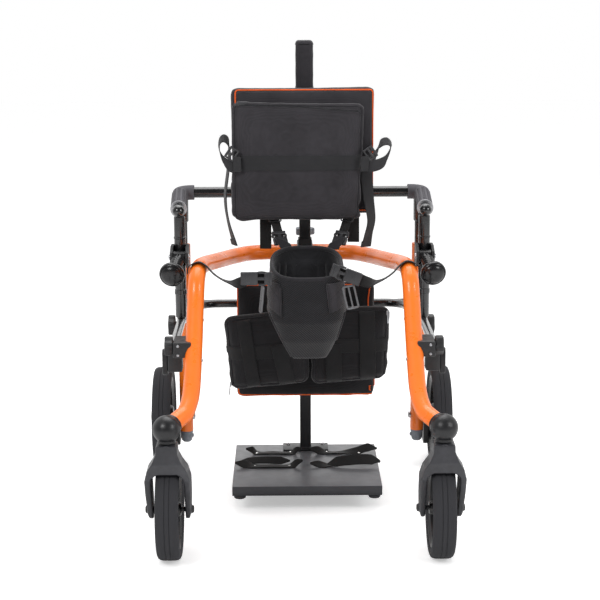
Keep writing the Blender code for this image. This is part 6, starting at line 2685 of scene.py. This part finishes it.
@dataclass
class Straps:
    """All free webbing: chest, shoulder and side straps with their buckles, and the foot straps."""

    plate_top: float = 0.059
    locks: Mapping[str, Pair] = field(default_factory=lambda: {
        "left": (0.133, 0.158), "right": (0.137, 0.161)})
    shoulders: Tuple[Tuple[str, float, float, float, float], ...] = (
        ("left", 0.1, 0.077, 0.112, 0.556), ("right", 0.06, 0.044, 0.079, 0.542))

    def chest_routes(self) -> Dict[str, List[Knot]]:
        """Return the routes of the chest straps: out in a loop, back behind the pad and down.

        Returns:
            The knots of each side's strap, as on the left side.
        """
        up = (0.0, 0.0, 1.0)
        return {
            "left": [
                ((0.132, 0.0705, 0.728), up), ((0.154, 0.0685, 0.728), up),
                ((0.176, 0.079, 0.736), (0.15, 0.2, 1.0)), ((0.187, 0.09, 0.754), (0.3, 0.5, 0.9)),
                ((0.1905, 0.099, 0.769), (0.1, 0.9, 0.45)), ((0.183, 0.107, 0.776), (0.0, 0.83, 0.56)),
                ((0.17, 0.112, 0.771), (0.0, 0.83, 0.5)), ((0.1575, 0.118, 0.75), (0.6, 0.8, 0.2)),
                ((0.1415, 0.119, 0.715), (1.0, 0.1, 0.0)), ((0.1445, 0.1185, 0.655), (0.9, 0.4, 0.0)),
                ((0.1508, 0.1175, 0.606), (0.7, 0.7, 0.0)), ((0.1444, 0.116, 0.573), (0.7, 0.7, 0.0)),
                ((0.139, 0.114, 0.546), (0.8, 0.5, 0.0))],
            "right": [
                ((0.133, 0.0705, 0.728), up), ((0.152, 0.069, 0.728), up),
                ((0.168, 0.079, 0.741), (0.25, 0.25, 1.0)), ((0.1765, 0.093, 0.763), (0.15, 1.0, 0.35)),
                ((0.175, 0.102, 0.779), (0.05, 0.9, 0.5)), ((0.1665, 0.108, 0.784), (0.0, 0.83, 0.56)),
                ((0.1575, 0.113, 0.775), (0.0, 0.83, 0.5)), ((0.1555, 0.118, 0.75), (0.25, 1.0, 0.2)),
                ((0.159, 0.119, 0.715), (0.25, 1.0, 0.0)), ((0.1655, 0.1185, 0.655), (0.25, 1.0, 0.0)),
                ((0.16, 0.117, 0.605), (0.25, 1.0, 0.0)), ((0.1455, 0.112, 0.552), (0.45, 0.9, 0.0))]}

    def build_chest(self) -> None:
        """Build the chest straps with their folded ends, tabs and ladder locks."""
        for side, route in self.chest_routes().items():
            sign = SIDES[side]
            knots = on_side(route, sign)
            main = strap("main_band", knots, Look.WEB, 9, slack=0.0006)
            (above, _), (tip, across) = knots[-2:]
            run = (tip - above).normalized()
            out = across.cross(run).normalized() * 0.0022
            tail = [(tip - run * 0.013 + out, across), (tip + out, across)]
            hem = strap("folded_tail", tail, Look.WEB, 5)
            near, far = self.locks[side]
            tab = [((near + 0.0015, 0.0664, 0.749), (1.0, 0.0, 0.12)),
                   ((near + 0.0005, 0.0652, 0.733), (1.0, 0.0, 0.05)),
                   ((near, 0.066, 0.7165), (1.0, 0.0, 0.0))]
            fold = strap("fold", on_side(tab, sign), Look.WEB, 7, 0.0165, 0.0034)
            dress(merge_strips(f"{side}_chest_webbing", [main, hem, fold]), "chest_pads", "webbing",
                  f"{side}_chest_strap")
            middle = mirrored(((near + far) / 2.0, 0.0668, 0.755), sign)
            LadderLock(f"{side}_chest_lock", "chest_pads", middle,
                       mirrored((0.8, 0.0, 0.55), sign)).build()

    def build_shoulders(self) -> None:
        """Build the straps from the chest pad down to the harness rim."""
        lean = (1.0, 0.0, 0.45)
        for side, high_x, low_x, band_x, band_low in self.shoulders:
            sign = SIDES[side]
            route = [((high_x + 0.004, 0.12, 0.65), (1.0, 0.0, 0.1)), ((high_x, 0.116, 0.612), lean),
                     ((low_x, 0.074, 0.556), lean)]
            main = strap("main_band", on_side(route, sign), Look.DARK_WEB, 12, slack=0.0005)
            down = [((band_x * sign, 0.1205, 0.65), X_AXIS), ((band_x * sign, 0.12, 0.6), X_AXIS),
                    ((band_x * sign, 0.119, band_low), X_AXIS)]
            loose = strap("loose_band", down, Look.DARK_WEB, 10, slack=0.0012)
            band = merge_strips(f"{side}_shoulder_webbing", [main])
            dress_across(band, f"{side}_shoulder_strap", ("mast", "chest_pads"))
            dress(merge_strips(f"{side}_shoulder_tail", [loose]), "chest_pads", "webbing")
            top, foot = mirrored(route[1][0], sign), mirrored(route[2][0], sign)
            run = foot - top
            out = run.cross(mirrored(lean, sign))
            out = out if out.y < 0.0 else -out
            Buckle(f"{side}_shoulder_buckle", "mast", top.lerp(foot, 0.74), run, out, 0.032, 0.031,
                   0.009).build()
            Adjuster(f"{side}_shoulder_adjuster", "mast", top.lerp(foot, 0.08), run, out, 0.014, 0.03,
                     0.003).build()
            ear = on_side([((low_x - 0.002, 0.0715, 0.568), lean),
                           ((low_x - 0.008, 0.0655, 0.557), (1.0, 0.0, 0.3)),
                           ((low_x - 0.016, 0.0605, 0.548), (1.0, 0.0, 0.1))], sign)
            dress(strap(f"{side}_harness_ear", ear, Look.PAD_DARK, 8, 0.034, 0.0034), "mast",
                  "mesh_fabric")

    def build_sides(self) -> None:
        """Build the straps over the frame bends to the harness, with buckle and adjuster."""
        up, flat = (0.0, 0.1, 1.0), (0.0, 1.0, -0.1)
        spans = {"left": (0.054, 0.9, -0.34, 0.531), "right": (0.0634, 1.0, 0.0, 0.524)}
        for side, sign in SIDES.items():
            near, level, drop, height = spans[side]
            route = [((0.2365, -0.1165, 0.529), flat), ((0.2335, -0.119, 0.545), flat),
                     ((0.2142, -0.118, 0.5545), flat), ((0.199, -0.12, 0.548), flat),
                     ((0.183, -0.125, 0.532), flat), ((0.166, -0.131, 0.521), flat),
                     ((0.148, -0.137, 0.515), (0.0, 1.0, 0.1)),
                     ((0.13, -0.14, 0.515), (0.0, 0.6, 0.8)),
                     ((0.108, -0.141, height + 0.022 * drop), up), ((0.074, -0.137, height), up)]
            band = strap(f"{side}_side_webbing", on_side(route, sign), Look.DARK_WEB, 9, slack=0.0005)
            dress_across(band, f"{side}_side_strap", ("frame", "mast"))
            run = mirrored((level, 0.0, drop), sign)
            centre = mirrored((near + 0.032, -0.143, height), sign)
            Buckle(f"{side}_side_buckle", "mast", centre, run, -Y_AXIS, 0.064, 0.0265, 0.0105).build()
        Adjuster("left_adjuster", "mast", (0.0955, -0.1425, 0.4845), (0.97, 0.0, 0.22), -Y_AXIS,
                 0.027, 0.05, 0.0042, Look.RING).build()
        Adjuster("right_adjuster", "mast", (-0.0848, -0.1425, 0.481), (-0.1, 0.0, -1.0),
                 (1.0, 0.25, 0.0), 0.056, 0.018, 0.0046, Look.RING).build()

    def build_feet(self) -> None:
        """Build the foot straps: flat riveted belts with raised wings, and a loose band over them."""
        belts = {
            "right": (
                (0.1825, 0.02, ((0.01, 0.011, 2.2), (0.019, 0.009, 2.0), (0.034, 0.001, 0.1),
                                (0.075, 0.001, 0.0), (0.11, 0.001, 0.1), (0.122, 0.008, 1.8),
                                (0.136, 0.011, 2.2))),
                (0.08, 0.021, ((0.008, 0.013, 2.2), (0.018, 0.01, 1.8), (0.037, 0.001, 0.1),
                               (0.075, 0.001, 0.0), (0.113, 0.001, 0.1), (0.134, 0.005, 0.8),
                               (0.158, 0.009, 1.0))),
                (0.096, 0.018, ((0.036, 0.008, 1.2), (0.058, 0.009, 1.2), (0.086, 0.01, 0.9),
                                (0.12, 0.009, 0.7), (0.15, 0.006, 0.6)))),
            "left": (
                (0.1825, 0.02, ((0.008, 0.01, 1.8), (0.022, 0.008, 1.6), (0.046, 0.001, 0.1),
                                (0.08, 0.001, 0.0), (0.114, 0.004, 0.8), (0.14, 0.012, 1.4),
                                (0.162, 0.01, 0.6))),
                (0.082, 0.022, ((0.008, 0.006, 0.9), (0.02, 0.005, 0.7), (0.046, 0.001, 0.1),
                                (0.064, 0.001, 0.0))),
                (0.085, 0.025, ((0.046, 0.002, 0.4), (0.066, 0.008, 0.9), (0.094, 0.012, 1.1),
                                (0.126, 0.014, 1.1), (0.152, 0.012, 0.9), (0.164, 0.008, 0.8))))}
        low = self.plate_top + 0.0016
        for side, sign in SIDES.items():
            bands = []
            for y, width, route in belts[side]:
                knots = [((MAST_X + x * sign, y, low + rise), (0.0, 1.0, lean))
                         for x, rise, lean in route]
                bands.append(strap("foot_band", knots, Look.DARK_WEB, 9, width, 0.0024, slack=0.0007,
                                   taper=0.8))
            dress(merge_strips(f"{side}_foot_webbing", bands), "mast", "webbing", f"{side}_foot_strap")

    def build(self) -> None:
        """Build every strap."""
        self.build_chest()
        self.build_shoulders()
        self.build_sides()
        self.build_feet()


@dataclass
class Rivets:
    """The rivets and bolts on the footplate."""

    top: float = 0.059
    lift: float = 0.003
    size: Triple = (0.0068, 0.0068, 0.003)
    places: Outline = ((-0.1113, 0.18), (-0.0342, 0.187), (-0.1133, 0.0805), (-0.0371, 0.0805),
                       (0.0467, 0.187), (0.1208, 0.178))

    def build(self) -> None:
        """Set the rivets out with geometry nodes."""
        made = []
        for index, (x, y) in enumerate(self.places):
            spot = Vector((MAST_X + x, y, self.top + self.lift))
            made.append(repeat(f"rivet_{index}", Item.RIVET, [spot, spot + X_AXIS * 0.0001],
                               [Z_AXIS, Z_AXIS], 1.0, self.size, Look.RIVET, seed=index))
        dress(merge("footplate_rivets", made), "mast", "steel")


@dataclass
class Stage:
    """The white studio: floor, world light, lamps and the photograph's camera."""

    lens: float = 97.2
    eye: Triple = (-0.0364, -3.3655, 1.114)
    tilt: float = 11.14
    pan: float = -0.00905
    roll: float = -0.004
    world_light: float = 0.62
    floor_size: float = 12.0
    floor_lift: float = 0.42
    mirrored_front: float = 0.1
    mirrored_back: float = 1.0
    lamps: Tuple[Tuple[str, Triple, Triple, float, float], ...] = (
        ("key_light", (-1.7, -2.4, 2.3), (0.0, 0.0, 0.5), 1.1, 40.0),
        ("fill_light", (2.3, -1.8, 1.7), (0.0, 0.0, 0.5), 1.1, 28.0),
        ("top_light", (0.0, 0.9, 2.9), (0.0, 0.0, 0.3), 2.2, 44.0))

    def build_floor(self) -> None:
        """Build a white floor that keeps the object's shadow."""
        shape = bmesh.new()
        bmesh.ops.create_grid(shape, x_segments=1, y_segments=1, size=self.floor_size)
        material = bpy.data.materials.new("studio_floor")
        material.use_nodes = True
        tree = material.node_tree
        shader = tree.nodes["Principled BSDF"]
        shader.inputs["Base Color"].default_value = (0.93, 0.93, 0.93, 1.0)
        shader.inputs["Roughness"].default_value = 0.9
        shader.inputs["Specular IOR Level"].default_value = 0.05
        shader.inputs["Emission Color"].default_value = (1.0, 1.0, 1.0, 1.0)
        seen = tree.nodes.new("ShaderNodeLightPath")
        lift = tree.nodes.new("ShaderNodeMath")
        lift.operation = "MULTIPLY"
        lift.inputs[1].default_value = self.floor_lift
        tree.links.new(seen.outputs["Is Camera Ray"], lift.inputs[0])
        tree.links.new(lift.outputs["Value"], shader.inputs["Emission Strength"])
        mesh = bpy.data.meshes.new("studio_floor")
        shape.to_mesh(mesh)
        shape.free()
        mesh.materials.append(material)
        add_object("studio_floor", mesh)

    def build_world(self) -> None:
        """Build a world that lights softly and shows pure white behind the object."""
        world = bpy.data.worlds.new("studio")
        world.use_nodes = True
        tree = world.node_tree
        tree.nodes.clear()
        add, link = tree.nodes.new, tree.links.new
        light, seen, mirror = [add("ShaderNodeBackground") for _ in range(3)]
        light.inputs["Strength"].default_value = self.world_light
        way = add("ShaderNodeSeparateXYZ")
        link(add("ShaderNodeTexCoord").outputs["Generated"], way.inputs["Vector"])
        fade = add("ShaderNodeMapRange")
        for name, value in (("From Min", -0.5), ("From Max", 0.6), ("To Min", self.mirrored_front),
                            ("To Max", self.mirrored_back)):
            fade.inputs[name].default_value = value
        link(way.outputs["Y"], fade.inputs["Value"])
        link(fade.outputs["Result"], mirror.inputs["Strength"])
        for shader in (light, seen, mirror):
            shader.inputs["Color"].default_value = (1.0, 1.0, 1.0, 1.0)
        path = add("ShaderNodeLightPath")
        lit, mix = add("ShaderNodeMixShader"), add("ShaderNodeMixShader")
        link(path.outputs["Is Glossy Ray"], lit.inputs["Fac"])
        link(light.outputs["Background"], lit.inputs[1])
        link(mirror.outputs["Background"], lit.inputs[2])
        straight = add("ShaderNodeMath")
        straight.operation = "MAXIMUM"
        link(path.outputs["Is Camera Ray"], straight.inputs[0])
        link(path.outputs["Is Transmission Ray"], straight.inputs[1])
        link(straight.outputs["Value"], mix.inputs["Fac"])
        link(lit.outputs["Shader"], mix.inputs[1])
        link(seen.outputs["Background"], mix.inputs[2])
        link(mix.outputs["Shader"], add("ShaderNodeOutputWorld").inputs["Surface"])
        bpy.context.scene.world = world

    def lamp(self, name: str, place: Triple, target: Triple, size: float, power: float) -> None:
        """Add a soft square lamp that looks at a target.

        Args:
            name: Its name.
            place: Its place.
            target: What it looks at.
            size: Its side.
            power: Its power in watts.
        """
        data = bpy.data.lights.new(name, "AREA")
        data.size = size
        data.energy = power
        holder = add_object(name, data)
        turn = (Vector(target) - Vector(place)).to_track_quat("-Z", "Y")
        holder.matrix_world = Matrix.Translation(Vector(place)) @ turn.to_matrix().to_4x4()

    def build_camera(self) -> None:
        """Set the camera at the photograph's angle."""
        data = bpy.data.cameras.new("camera")
        data.lens = self.lens
        data.sensor_width = 36.0
        camera = add_object("camera", data)
        camera.matrix_world = (Matrix.Translation(Vector(self.eye)) @ Matrix.Rotation(self.pan, 4, "Z")
                               @ Matrix.Rotation(math.pi / 2.0 - math.radians(self.tilt), 4, "X")
                               @ Matrix.Rotation(self.roll, 4, "Z"))
        bpy.context.scene.camera = camera

    def build(self) -> None:
        """Build the whole studio."""
        self.build_floor()
        self.build_world()
        for lamp in self.lamps:
            self.lamp(*lamp)
        self.build_camera()
        bpy.context.scene.view_settings.view_transform = "Standard"


def main() -> None:
    """Build every sub-assembly in order, then the studio."""
    logging.basicConfig(level=logging.INFO, format="%(name)s: %(message)s")
    for group in (OrangeFrame(), SideRail(), Casters(), RearWheels(), Knobs(), HandleFrame(), Mast(),
                  Footplate(), Rivets(), BackPads(), ChestFrontPad(), KneePads(), Harness(), Straps(),
                  Stage()):
        group.build()
        LOG.info("%s is done", type(group).__name__)
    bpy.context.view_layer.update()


if __name__ == "__main__":
    main()
